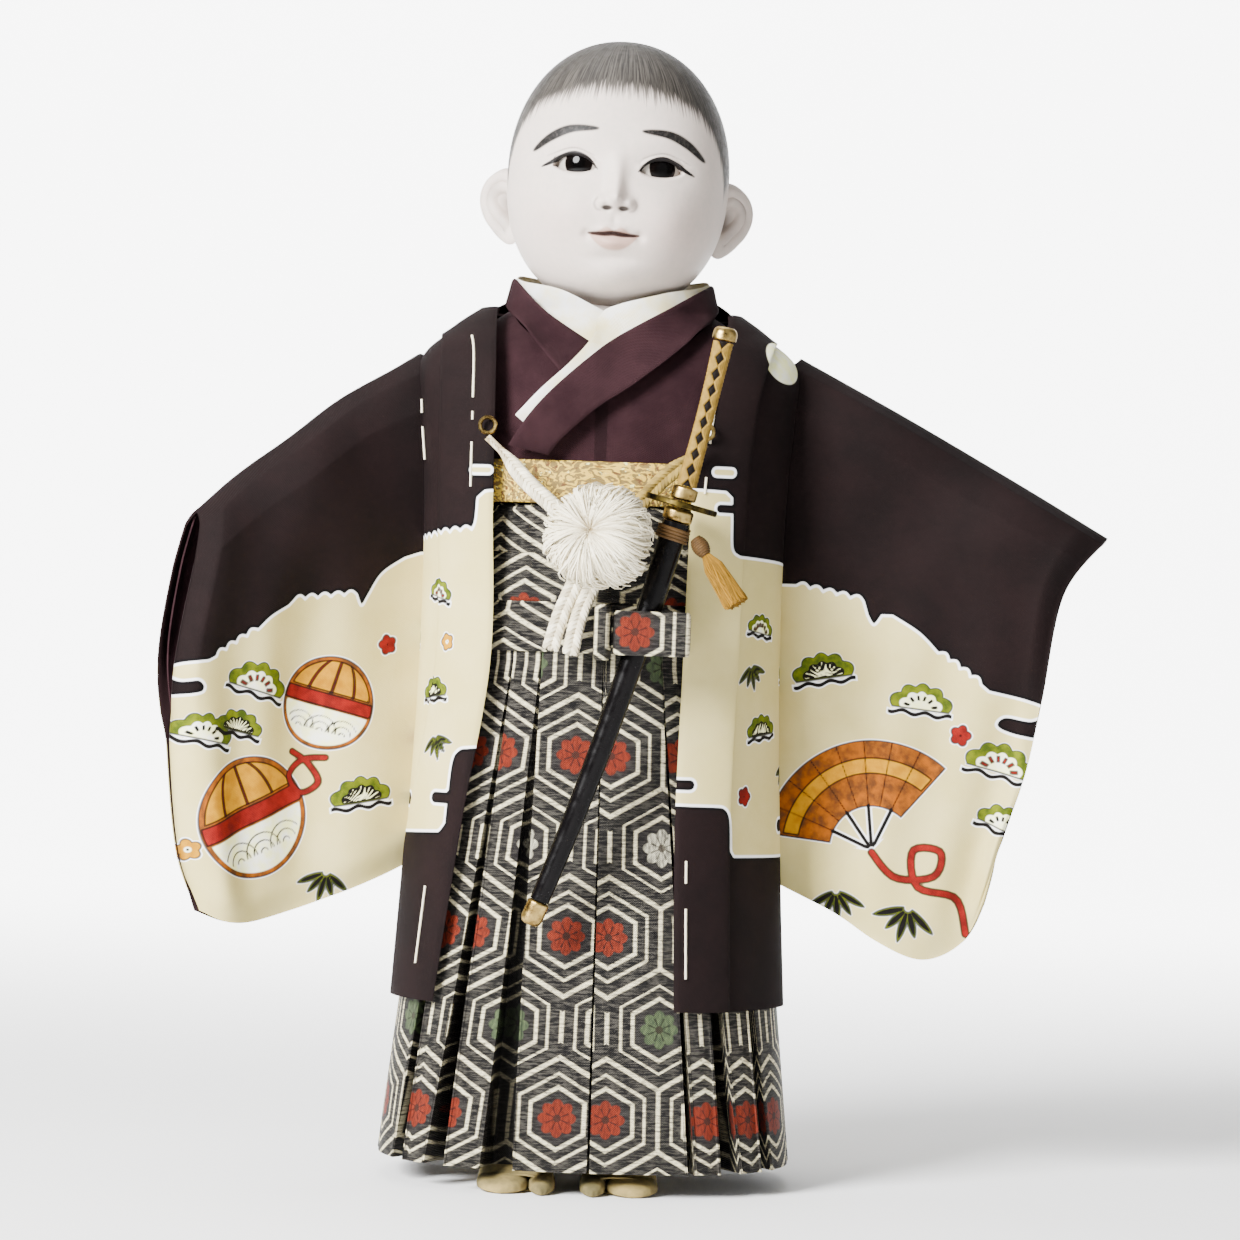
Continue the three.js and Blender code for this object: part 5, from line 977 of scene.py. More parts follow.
# Painted silk of the coat: dark above, cream clouds below, with pine, bamboo, plum, fans and thread balls
class Picture:
    """Painted shapes, as signed distances in mm at every point of a cloth."""

    # Half the angle of an open fan, and the length of one degree at a reach of 1
    FAN_HALF, DEGREE = 62, 0.0175
    NAMES = ("cream", "halo", "orange", "gold", "green", "white", "red", "ink", "needle")

    def __init__(self, x, z, motifs):
        self.x, self.z = x, z
        self.layers = {name: np.full(x.shape, 9.0) for name in self.NAMES}
        for motif, *values in motifs:
            getattr(self, motif)(*values)

    def add(self, name, distance):
        self.layers[name] = np.minimum(self.layers[name], distance)

    def from_line(self, ax, az, bx, bz):
        """Distance to the straight line between two places."""
        dx, dz = bx - ax, bz - az
        x, z = self.x - ax, self.z - az
        share = np.clip((x * dx + z * dz) / max(dx * dx + dz * dz, 1e-9), 0, 1)
        return np.hypot(x - share * dx, z - share * dz)

    def curve(self, points, width, name):
        line = through(points, shares(40))
        for start, end in zip(line[:-1], line[1:]):
            self.add(name, self.from_line(*start, *end) - width)

    def turned(self, cx, cz, degrees):
        c, s = math.cos(math.radians(degrees)), math.sin(math.radians(degrees))
        x, z = self.x - cx, self.z - cz
        return x * c + z * s, z * c - x * s

    def cloud(self, *pieces):
        """Cream inside a closed outline given as runs of points."""
        outline = np.concatenate([np.asarray(piece, float) for piece in pieces])
        near = np.full(self.x.shape, 1e9)
        inside = np.zeros(self.x.shape, bool)
        for (ax, az), (bx, bz) in zip(outline, np.roll(outline, -1, 0)):
            near = np.minimum(near, self.from_line(ax, az, bx, bz))
            if bz != az:
                edge = (bx - ax) * (self.z - az) / (bz - az)
                inside ^= ((self.z < az) != (self.z < bz)) & (self.x - ax < edge)
        self.add("cream", np.where(inside, -1, 1) * near)

    def bar(self, ax, az, bx, bz, r):
        """A rounded bar of cream."""
        self.add("cream", self.from_line(ax, az, bx, bz) - r)

    def slot(self, ax, az, bx, bz, r):
        """A rounded bar of the dark ground."""
        self.layers["cream"] = np.maximum(self.layers["cream"], r - self.from_line(ax, az, bx, bz))

    def pine(self, cx, cz, size, degrees=0, kind="ink"):
        """A pine bough: a scalloped green band round a pale or dark inside, over a wavy branch."""
        x, z = self.turned(cx, cz, degrees)
        angle = np.arctan2(z, x)
        reach = np.hypot(x, 1.25 * z)
        edge = size * (0.86 + 0.15 * np.abs(np.sin(5 * angle)))
        crown = np.maximum(reach - edge, -z)
        core = np.maximum(reach - 0.68 * edge, -z + 0.03 * size)
        branch = np.abs(z + 0.13 * size - 0.05 * size * np.sin(9 * x / size)) - 0.75
        branch = np.maximum(branch, np.abs(x) - 0.98 * size)
        self.add("halo", np.minimum(crown, branch) - 0.5)
        self.add("green", crown)
        self.add("ink", branch)
        if kind == "dark":
            self.add("ink", core)
            spoke = np.abs(np.mod(angle * 11 / np.pi, 1) - 0.5) * np.pi / 11 * reach - 0.26
            self.add("needle", np.maximum(spoke, np.maximum(core + 0.5, 0.12 * size - reach)))
        else:
            self.add("white", core)
            dash = np.abs(np.mod(angle * 6 / np.pi, 1) - 0.5) * np.pi / 6 * reach - 0.6
            dash = np.maximum(dash, np.abs(reach - 0.44 * size) - 0.1 * size)
            self.add(kind, np.maximum(dash, 0.06 * size - z))

    def bamboo(self, cx, cz, size, degrees=0):
        for k, tilt in enumerate((-66, -34, -4, 26, 56)):
            x, z = self.turned(cx, cz, degrees + tilt - 90)
            share = x / (size * (1 - 0.14 * (k % 2)))
            leaf = np.abs(z) - 0.1 * size * np.clip(4 * share * (1 - share), 0, 1) ** 0.8
            leaf = np.maximum(leaf, np.maximum(0.12 * size - x, (share - 1) * size))
            self.add("halo", leaf - 0.6)
            self.add("green", leaf - 0.15)
            self.add("ink", leaf + 0.3)

    def plum(self, cx, cz, size, name="red"):
        x, z = self.x - cx, self.z - cz
        reach = np.hypot(x, z)
        flower = reach - size * (0.72 + 0.28 * np.abs(np.cos(2.5 * np.arctan2(z, x))))
        self.add("halo", flower - 0.7)
        self.add(name, flower)
        self.add("white", reach - 0.26 * size)
        self.add("ink", reach - 0.12 * size)

    def ball(self, cx, cz, size, degrees=0):
        """A thread ball: gold cap, red sash and a pale half with rings of thread."""
        x, z = self.turned(cx, cz, degrees)
        rim = np.hypot(x, z) - size
        self.add("halo", rim - 0.6)
        self.add("orange", rim)
        self.add("gold", np.maximum(rim + 0.09 * size, 0.24 * size - z))
        pale = np.maximum(rim + 0.08 * size, z + 0.13 * size)
        self.add("white", pale)
        self.add("red", np.maximum(rim + 0.03 * size, np.abs(z - 0.05 * size) - 0.14 * size))
        for k in (-1, 0, 1):
            ring = np.hypot(x - 0.46 * size * k, z + 0.62 * size)
            arc = np.abs(np.mod(ring, 0.13 * size) - 0.065 * size) - 0.3
            arc = np.maximum(arc, np.maximum(ring - 0.36 * size, -z - 0.62 * size))
            self.add("ink", np.maximum(arc, pale + 0.8))
            bow = 0.5 * size * k * np.sqrt(np.clip(1 - (z / size) ** 2, 0, 1))
            self.add("red", np.maximum(rim + 0.09 * size, np.maximum(np.abs(x - bow) - 0.4, 0.24 * size - z)))

    def fan(self, cx, cz, size, degrees=0):
        """An open folding fan with a broad painted leaf."""
        x, z = self.turned(cx, cz, degrees)
        angle = np.degrees(np.arctan2(x, z))
        reach = np.hypot(x, z)
        degree = self.DEGREE * reach
        open_to = (np.abs(angle) - self.FAN_HALF) * degree
        leaf = np.maximum(np.maximum(reach - size, 0.4 * size - reach), open_to)
        stick = np.maximum(np.maximum(reach - 0.42 * size, 1.0 - reach), open_to)
        swing = angle + self.FAN_HALF
        sticks = np.maximum(stick, np.abs(np.mod(swing, self.FAN_HALF / 2) - self.FAN_HALF / 4) * degree - 0.7)
        self.add("halo", np.minimum(leaf, sticks) - 0.6)
        self.add("orange", leaf)
        self.add("gold", np.maximum(leaf + 1.0, np.maximum(reach - 0.84 * size, 0.7 * size - reach)))
        rib = self.FAN_HALF / 8 - np.abs(np.mod(swing, self.FAN_HALF / 4) - self.FAN_HALF / 8)
        self.add("ink", np.maximum(leaf, rib * degree - 0.25))
        self.add("ink", sticks)


LOBE_HIGH = 1.6


def scallops(start, end, count):
    """A run of small round lobes, standing out to the left of the way from start to end."""
    share = shares(8 * count + 1)
    way = np.array(end, float) - start
    out = np.array([-way[1], way[0]]) / np.hypot(*way)
    return start + way * share[:, None] + out * (LOBE_HIGH * np.abs(np.sin(np.pi * count * share)))[:, None]


def sweep(*points):
    """A smooth run through points."""
    return through(points, shares(8 * len(points)))


def painted_silk(name):
    p = Paint(name, Roughness=0.8, Specular_IOR_Level=0.08)
    uneven = p.noise(40, p.place(), 4, 0.6)
    dark = p.ramp(uneven, 0.3, 0.7, rgb(30, 19, 19), rgb(40, 26, 26))
    cream = p.ramp(uneven, 0.3, 0.7, (0.57, 0.475, 0.19, 1), (0.62, 0.525, 0.235, 1))
    tone = p.mix(p.inside("cream", 0.25, 1.4), dark, rgb(16, 12, 13))
    tone = p.mix(p.inside("cream", 0.2, 0.4), tone, rgb(244, 241, 232))
    tone = p.mix(p.inside("cream", 0.25, -0.6), tone, cream)
    tone = p.mix(p.inside("halo", 0.2), tone, rgb(244, 241, 232))
    wash = p.noise(260, p.place(), 3)
    for key, low, high in (
        ("orange", rgb(150, 92, 50), rgb(206, 142, 80)),
        ("gold", (0.36, 0.15, 0.001, 1), (0.5, 0.23, 0.002, 1)),
        ("green", rgb(108, 124, 40), rgb(168, 172, 78)),
        ("white", rgb(232, 227, 214), rgb(242, 238, 228)),
        ("red", rgb(168, 46, 40), rgb(204, 78, 60)),
    ):
        tone = p.mix(p.inside(key, 0.3), tone, p.ramp(wash, 0.3, 0.7, low, high))
        if key != "white":
            edge = p.math("ABSOLUTE", p.layer(key))
            tone = p.mix(p.range(edge, 0.5, 0.15, 0.0, 0.85), tone, rgb(34, 24, 20))
    tone = p.mix(p.inside("ink", 0.25), tone, rgb(28, 23, 21))
    tone = p.mix(p.inside("needle", 0.15), tone, rgb(236, 231, 216))
    lining = p.mix(uneven, rgb(40, 24, 26), rgb(58, 36, 38))
    p.colour(p.mix(p.layer("lining"), tone, lining))
    p.bump(p.math("ADD", p.weave(0.6), p.times(p.noise(700, p.place()), 1.5)), 0.0001, 0.6)
    return p.material


coat_silk = painted_silk("coat_silk")


def lined(points):
    """0 on the face and 1 on the lining of a shell."""
    return np.repeat([0.0, 1.0], points[..., 0].size)


def side_turn(t):
    z = through(COAT["height"], t)
    return lerp(math.radians(0.06), math.radians(11), smooth(252, 266, z) * (1 - smooth(294, 305, z)))


def collar_turn(edge, side, t, share):
    inner = through(edge, t)
    outer = np.minimum(np.abs(inner) + COLLAR_WIDE, through(COAT["width"], t) - 0.4)
    last = np.minimum(np.abs(turn_of(COAT, t, outer)), math.radians(80))
    return lerp(turn_of(COAT, t, inner), side * last, share)


# Each picture's motifs: kind, place, size and what else it takes
BELOW = [[116, -250], [-20, -250]]
PICTURES = {
    "left_front": [
        ("cloud", [[18, 254], [44, 253], [46.5, 251]], sweep([47, 242], [47.6, 233], [50.5, 230.3], [54, 230]),
         [[130, 226], [130, 121], [53, 122.5]], sweep([51.5, 124.5], [50.6, 136], [48, 140], [44, 140.6]),
         [[18, 141]]),
        ("slot", 52, 247, 42, 247, 1.9), ("slot", 20, 148, 34, 148, 2.2), ("slot", 130, 133, 84, 133, 2.6),
        ("bar", 46, 260, 40, 260, 1.6),
        ("pine", 65, 203, 8.5, -8, "red"), ("pine", 68, 166, 9.5, 6, "dark"), ("pine", 93, 186, 9.5, -5, "ink"),
        ("bamboo", 60, 191, 9, 20), ("bamboo", 90, 154, 10, -10), ("plum", 58, 144, 3.6),
    ],
    "right_front": [
        ("cloud", [[30, 252], [43, 250.5]], sweep([46, 248], [46.6, 240], [48, 236.5]),
         scallops([48, 236.5], [130, 228], 16), [[130, 124], [57, 128]],
         sweep([54.5, 131], [53, 152], [50, 157.5], [46, 158.5]), [[30, 160]]),
        ("slot", 130, 138, 86, 138, 2.6), ("slot", 50, 140, 60, 140, 2.4), ("bar", 42, 258, 48, 258, 1.5),
        ("pine", 65, 212, 8.5, 8, "red"), ("pine", 66, 176, 9.5, -6, "dark"), ("pine", 94, 196, 9.5, 6, "ink"),
        ("plum", 58, 196, 3.2, "gold"), ("plum", 92, 160, 4), ("bamboo", 62, 162, 9, -10),
    ],
    "back": [
        ("cloud", scallops([-130, 230], [-60, 204], 14), sweep([-54, 196], [-28, 198], [0, 208]),
         scallops([0, 208], [42, 212], 8), sweep([48, 206], [78, 212], [130, 228]),
         sweep([130, 122], [60, 114], [-10, 120], [-60, 115], [-130, 124])),
        ("pine", -56, 174, 14, 8, "red"), ("pine", -8, 148, 15, -5, "dark"), ("pine", 42, 180, 14, -10, "ink"),
        ("pine", 70, 142, 12, 6, "red"), ("pine", -82, 150, 11, -6, "ink"), ("pine", 86, 186, 11, 8, "dark"),
        ("bamboo", 4, 194, 12, 10), ("bamboo", -84, 196, 11, -12), ("plum", -34, 140, 5),
        ("plum", 26, 142, 4, "gold"),
    ],
    "left_sleeve": [
        ("cloud", [[-20, -84], [2, -84]], scallops([2, -84], [27, -89], 5),
         sweep([28.5, -94], [31, -97.5], [34, -94]),
         sweep([38, -94], [48, -100], [55, -107]), scallops([55, -107], [71, -118], 4),
         sweep([74, -120.5], [88, -123.5], [95, -126.5], [90, -130.5], [80, -129.5], [77, -133], [83, -136],
               [100, -139], [116, -144]), BELOW),
        ("fan", 33, -180, 40, 22),
        ("curve", [[33, -181], [42, -190], [56, -189], [58, -180], [48, -180], [50, -193],
                   [64, -197], [68, -210]], 1.3, "red"),
        ("pine", 78, -150, 13.5, -14, "red"), ("pine", 80, -171, 11, -22, "ink"),
        ("pine", 13, -118, 12, 10, "dark"),
        ("pine", 49, -128, 12, -6, "ink"), ("bamboo", 20, -196, 12, 8), ("bamboo", 47, -201, 13, -12),
        ("plum", 64, -137, 4.0),
    ],
    "right_sleeve": [
        ("cloud", [[-20, -72], [2, -74]], sweep([8, -76], [17, -82], [22, -90], [24.5, -94], [27, -90]),
         scallops([27, -90], [52, -93], 5), sweep([54, -95], [61, -99], [66, -104]),
         scallops([66, -104], [82, -114], 4),
         sweep([85, -115.5], [94, -117], [99, -120], [94, -123], [88, -122.5], [85.5, -125.5], [90, -128],
               [116, -131]), BELOW),
        ("ball", 34, -130, 17, 14), ("ball", 62, -172, 22, -24),
        ("pine", 64, -126, 13, 14, "red"), ("pine", 84, -144, 12, 10, "ink"),
        ("pine", 20, -166, 12, -10, "dark"),
        ("pine", 70, -141, 10, 12, "dark"), ("bamboo", 32, -192, 11, 14),
        ("curve", [[46, -148], [40, -152], [36, -159], [42, -163], [47, -157], [42, -151],
                   [34, -150]], 1.1, "red"),
        ("plum", 86, -184, 4.0, "gold"), ("plum", 12, -108, 3.8),
    ],
}
# Plain white disc on the left shoulder
CREST_AT, CREST_SIZE = [62.8, -23, 301.6], [8.6, 14, 8.4]


def around(points):
    """Distance along the cloth across each row of points, starting from its first point's own x."""
    steps = np.linalg.norm(np.diff(points[..., :2], axis=0, prepend=points[:1, :, :2]), axis=-1)
    return np.abs(points[:1, :, 0]) + steps.cumsum(0)


def coat_sheet(node, motifs, points, across, thick, lining):
    """A painted sheet of the coat, with each point's distance across the cloth."""
    picture = Picture(across, points[..., 2], PICTURES[motifs])
    if motifs == "left_front":
        offset = (points - CREST_AT) / CREST_SIZE
        picture.add("white", 8 * (np.linalg.norm(offset, axis=-1) - 1))
    layers = {key: twice(d) for key, d in picture.layers.items()}
    layers["lining"] = lining * lined(points)
    cloth(node + "_silk", [shell(points, thick)], coat_silk, "torso", [node], cloth_map(across, points[..., 2]),
          layers)


# Coat fronts, back and collar bands
rows = shares(400)[None]
for name, edge, side in (("left", LEFT_EDGE, 1), ("right", RIGHT_EDGE, -1)):
    u = shares(96)[:, None]
    turn = lerp(collar_turn(edge, side, rows, 0.1), side * (np.pi / 2 - side_turn(rows)), u)
    fall = 0.9 * np.sin(9.0 * u + 1.3 * rows) * smooth(0.75, 0.1, rows) * smooth(0, 0.2, u) * smooth(1, 0.85, u)
    front = wrap(COAT, rows, turn, fall - 0.5)
    u = shares(34)[:, None]
    collar = wrap(COAT, rows, collar_turn(edge, side, rows, u), 0.75 + 1.1 * roll_of(u, 8))
    for node, points, thick, lining, held, rests in (
        (f"coat_{name}_front", front, 1.0, 1, "hung", "chest"),
        (f"coat_{name}_collar", collar, 0.6, 0, "folded", f"coat_{name}_front"),
    ):
        coat_sheet(node, name + "_front", points[::side], around(points)[::side], thick, lining)

u = shares(150)[:, None]
start = np.pi / 2 + side_turn(rows)
wave = 0.5 - 0.5 * np.cos(6 * np.pi * u)
points = wrap(COAT, rows, lerp(start, 2 * np.pi - start, u), 2.6 * wave * (1 - smooth(0, 0.6, rows)))
across = around(points)
coat_sheet("coat_back", "back", points, across.mean(0) - across, 1.0, 1)

u, v = grid(90, 22)
t = 1 - (1 - v) * 3 / 14
start = np.pi / 2 + side_turn(t)
points = wrap(COAT, t, lerp(start, 2 * np.pi - start, lerp(1 / 12, 11 / 12, u)), 0.7 + 1.1 * roll_of(v, 6))
points[..., 2] += v * lerp(7.5, 4.5, u) * smooth(0.0, 0.2, u) * smooth(1.0, 0.8, u)
dark_silk = plain_cloth("dark_silk", rgb(37, 24, 26), rgb(47, 31, 34), shine=0.08)
cloth("coat_neck_collar_silk", [shell(points, 0.6)], dark_silk, "torso", ["coat_neck_collar"],
      cloth_map(u * 120, v * 20))


# Sleeves: a bag of painted silk on each arm, open at the cuff, with the kimono's sleeve inside it
SLEEVES = {
    "left": {
        "hinge": [70.5, 0, 305], "turn": math.radians(-8),
        "top": [[0, 0], [40, -21], [80, -43], [115, -63]],
        "outer": [[115, -63], [99.5, -84], [93, -123], [88, -150], [81, -172], [74, -198]],
        "bottom": [[0, -191], [17, -202], [36, -214], [53, -220], [67, -213], [74, -198]],
        "inner": [[0, 0], [0, -60], [0, -130], [0, -191]],
    },
    "right": {
        "hinge": [-70.5, 0, 302], "turn": math.radians(208),
        "top": [[0, 0], [30, -18], [60, -40], [87, -62]],
        "outer": [[87, -62], [95.6, -112], [93.5, -145], [88.4, -185], [80, -206]],
        "bottom": [[5, -186], [28, -200], [54, -209], [70, -210], [80, -206]],
        "inner": [[0, 0], [1, -60], [3, -130], [5, -186]],
    },
}
# How far the sleeve's inner edge is moved in at the shoulder's corner, across and down the flat sleeve
TUCKED_IN = 9.0
# Half depths of a sleeve: what the arm adds, the hanging cloth and its sewn edges
ARM_DEEP, CLOTH_DEEP, SEAM_DEEP = 12.5, 3, 0.6


def sleeve_face(form, u, v):
    """Place across and down the flat sleeve, filled in between its four edges."""
    u, v = np.broadcast_arrays(u, v)
    a, b = u[..., None], v[..., None]
    inner, outer = through(form["inner"], v), through(form["outer"], v)
    top, bottom = through(form["top"], u), through(form["bottom"], u)
    start, end = (lerp(*(np.array(form[k][i], float) for k in ("top", "bottom")), b) for i in (0, -1))
    return lerp(inner, outer, a) + lerp(top, bottom, b) - lerp(start, end, a)


def sleeve_half(u, v):
    """Half the depth of the bag."""
    full = np.where(v < 0.11, np.sqrt(np.clip(v / 0.11, 0, 1)), 1 - smooth(0.13, 0.62, v))
    arm = CLOTH_DEEP + ARM_DEEP * full - SEAM_DEEP
    sewn = smooth(0.0, 0.1, 1 - v) * lerp(smooth(0.0, 0.12, 1 - u), 1, 0.55 * smooth(0.52, 0.42, v))
    return SEAM_DEEP + arm * np.clip(sewn, 0, 1)


def tucked(u, v):
    """How far the sleeve's inner edge reaches into the coat's armhole."""
    inward = TUCKED_IN * smooth(0.3, 0.0, u) * smooth(0.0, 0.1, v)
    return stacked(inward, 0)


def sleeve_place(form, flat, y):
    c, s = math.cos(form["turn"]), math.sin(form["turn"])
    x, z = flat[..., 0], flat[..., 1]
    return stacked(x * c - y * s, x * s + y * c, z) + form["hinge"]


def sleeve_bag(name, kind, flat, middle, depth, thick, material, layers=None):
    """A sleeve's two faces, at a depth before and behind its middle."""
    form, parts = SLEEVES[name], []
    for face in (-1, 1):
        points = sleeve_place(form, flat, middle + face * depth)
        parts.append(shell(points, thick, flip=face < 0))
    piece = cloth(f"{name}_{kind}_sleeve_silk", parts, material, None, [f"{name}_{kind}_sleeve"],
                  np.concatenate([twice(flat), twice(flat)]),
                  layers)
    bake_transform(piece)


def sleeve_fold(u, v):
    return 3 * np.sin(3 * np.pi * u + 0.6) * smooth(0.15, 0.75, v)


kimono_silk = plain_cloth("kimono_silk", rgb(62, 37, 42), rgb(82, 51, 56), shine=0.08)
for name, form in SLEEVES.items():
    u, v = grid(200, 340)
    flat = sleeve_face(form, u, v) - tucked(u, v)
    hang = 1.4 * np.sin(7 * np.pi * u + 4 * v) * smooth(0.1, 0.5, v) * smooth(1, 0.8, v)
    pull = 1.8 * np.sin(9 * v + 14 * u) * smooth(0.35, 0.1, v) * smooth(0.0, 0.2, u) * smooth(1, 0.8, u)
    depth = (sleeve_half(u, v) + 1.2) * np.sqrt(np.clip(v / 0.035, 0, 1))
    picture = Picture(flat[..., 0], flat[..., 1], PICTURES[name + "_sleeve"])
    layers = {key: np.tile(d.ravel(), 4) for key, d in picture.layers.items()}
    layers["lining"] = np.tile(lined(flat), 2)
    sleeve_bag(name, "coat", flat, sleeve_fold(u, v) + hang + pull, depth, 0.9, coat_silk, layers)

    u = np.linspace(0.03, 0.955, 46)[:, None]
    v = np.linspace(0.03, 0.945, 60)[None]
    depth = np.maximum(0.7, sleeve_half(u, v) * 0.82 - 1.2)
    sleeve_bag(name, "kimono", sleeve_face(form, u, v), sleeve_fold(u, v), depth, 0.6, kimono_silk)


# Kimono body, collars and obi
u = lap_of(180)[:, None]
v = shares(60)[None]
low = station(COAT, 249)
aside = np.abs(wrap(COAT, 0.93, u, -KIMONO_IN, -KIMONO_DEEP)[..., 0])
top = np.where(np.cos(u) > 0, station(COAT, np.minimum(294 + 0.62 * aside, 318)), 0.985)
tuck = 0.25 * np.sin(14 * u + 3 * v) * smooth(0.9, 0.2, v) - 0.5
points = wrap(COAT, lerp(low, top, v), u, tuck - KIMONO_IN, tuck - KIMONO_DEEP)
cloth("kimono_body_silk", [shell(points, 0.8, ring=True)], kimono_silk, "torso", ["kimono_body"],
      cloth_map(u * 50, v * 70))

NECKLINE = 319.0
NECK_TOP = [[0.4, 27, -12], [24, 21, -12], [32.6, 3, -11.5], [32.2, -10, -9.5]]
NECK_LOW = [[0.4, 24, -1.5], [24, 17, -1.5], [33.5, 2, -1.5], [35.5, -12, 0]]
UNDER_TOP = [[0.4, 27, -13], [22.5, 19.5, -13], [33, 4, -13], [32, -11, -9.8]]
UNDER_LOW = [[x, y, drop - 1] for x, y, drop in NECK_LOW]
LEFT_LOW = [[28, -26, 12], [10, -38, 27.5], [-3, -43, 36.5], [-11, -45, 43.5], [-17, -46, 49.5], [-21, -47, 55]]
# Name, side, upper and lower edge, thickness, and what it lies on at the neck and on the chest
BANDS = [
    ("under_collar_right", -1, UNDER_TOP + [[17, -28.5, -5.6], [0, -33, 3]],
     UNDER_LOW + [[27, -26, 7], [10, -36, 21]], 0.8, 0.5, 0.5),
    ("kimono_collar_right", -1, NECK_TOP + [[22, -28.5, 2.4], [6, -34, 14.2]],
     NECK_LOW + [[28, -26, 12], [16, -38, 26]], 1.2, 2.0, 1.8),
    ("under_collar_left", 1,
     UNDER_TOP + [[17, -28.5, -5.4], [-2.2, -33, 1], [-6.5, -36, 11.5], [-13.9, -40, 21], [-24, -44, 31],
                  [-33, -46, 41]],
     UNDER_LOW + [[x, y, drop - 4] for x, y, drop in LEFT_LOW], 0.8, 0.5, 3.5),
    ("kimono_collar_left", 1,
     NECK_TOP + [[21.5, -28.5, -1.5], [3.4, -34.5, 10.6], [-7.1, -38, 19.3], [-19.4, -43, 31], [-28, -45, 41],
                 [-35, -46, 52]],
     NECK_LOW + LEFT_LOW, 1.2, 2.0, 4.8),
]
white_cloth = plain_cloth("white_cloth", rgb(226, 222, 210), rgb(246, 244, 236), 0.6)
for name, side, upper, lower, thick, on_neck, on_body in BANDS:
    u, v = grid(30, 160)
    edge = []
    for line in (upper, lower):
        p = through(line, v[0])
        edge.append(stacked(side * p[:, 0], p[:, 1], NECKLINE - p[:, 2]))
    spot = lerp(edge[0][None], edge[1][None], u[..., None])
    roll = roll_of(u, 10)
    place = v * (len(upper) - 1)
    on_chest = lerp(smooth(4, 6, place), smooth(3, 3.8, place), u)[..., None]
    lift = lerp(on_neck, on_body, on_chest) + thick * (0.45 + 0.55 * roll)[..., None]
    stand = unit(spot * [1, 1, 0]) * lift + spot
    x, z = spot[..., 0], spot[..., 2]
    lying = stacked(x, kimono_front(x, z, lift[..., 0]), z)
    points = lerp(stand, lying, on_chest)
    stuff, slot = (white_cloth, "white_cloth") if name.startswith("under") else (kimono_silk, "kimono_silk")
    cloth(name + "_cloth", [shell(points, 0.45 * thick, flip=side < 0)], stuff, "torso", [name],
          cloth_map(u * 20, v * 150))

gold = Paint("gold_brocade", Roughness=0.5, Specular_IOR_Level=0.25)
swirl = gold.noise(0.16, gold.cloth(), 3, 0.5)
bands = gold.math("SINE", gold.times(swirl, 60))
fleck = gold.noise(0.5, gold.cloth(), 2)
tone = gold.ramp(bands, -0.2, 0.4, rgb(184, 158, 110), rgb(222, 204, 162))
tone = gold.mix(gold.range(fleck, 0.58, 0.66, 0.0, 0.8), tone, rgb(150, 78, 44))
tone = gold.mix(gold.range(fleck, 0.36, 0.3, 0.0, 0.8), tone, rgb(240, 232, 214))
gold.colour(tone)
gold.bump(gold.math("ADD", bands, gold.weave(0.7)), 0.00012, 0.7)
u = np.linspace(-np.pi, np.pi, 200, endpoint=False)[:, None]
v = shares(24)[None]
lift = 0.6 + 1.3 * roll_of(v, 8)
points = wrap(COAT, station(COAT, lerp(247, 262.4, v)), u, lift - KIMONO_IN, lift - KIMONO_DEEP)
cloth("obi_brocade", [shell(points, 0.5, ring=True)], gold.material, "torso", ["obi"],
      cloth_map(u * 52, v * 15.4))


# Hakama: tortoise-shell brocade in deep pleats
# Width of a hexagon, the rise of a row over it, and half the blur of a line's edge
HEXAGON, SINE_60, SOFT = 37.3, 0.8660254, 0.3


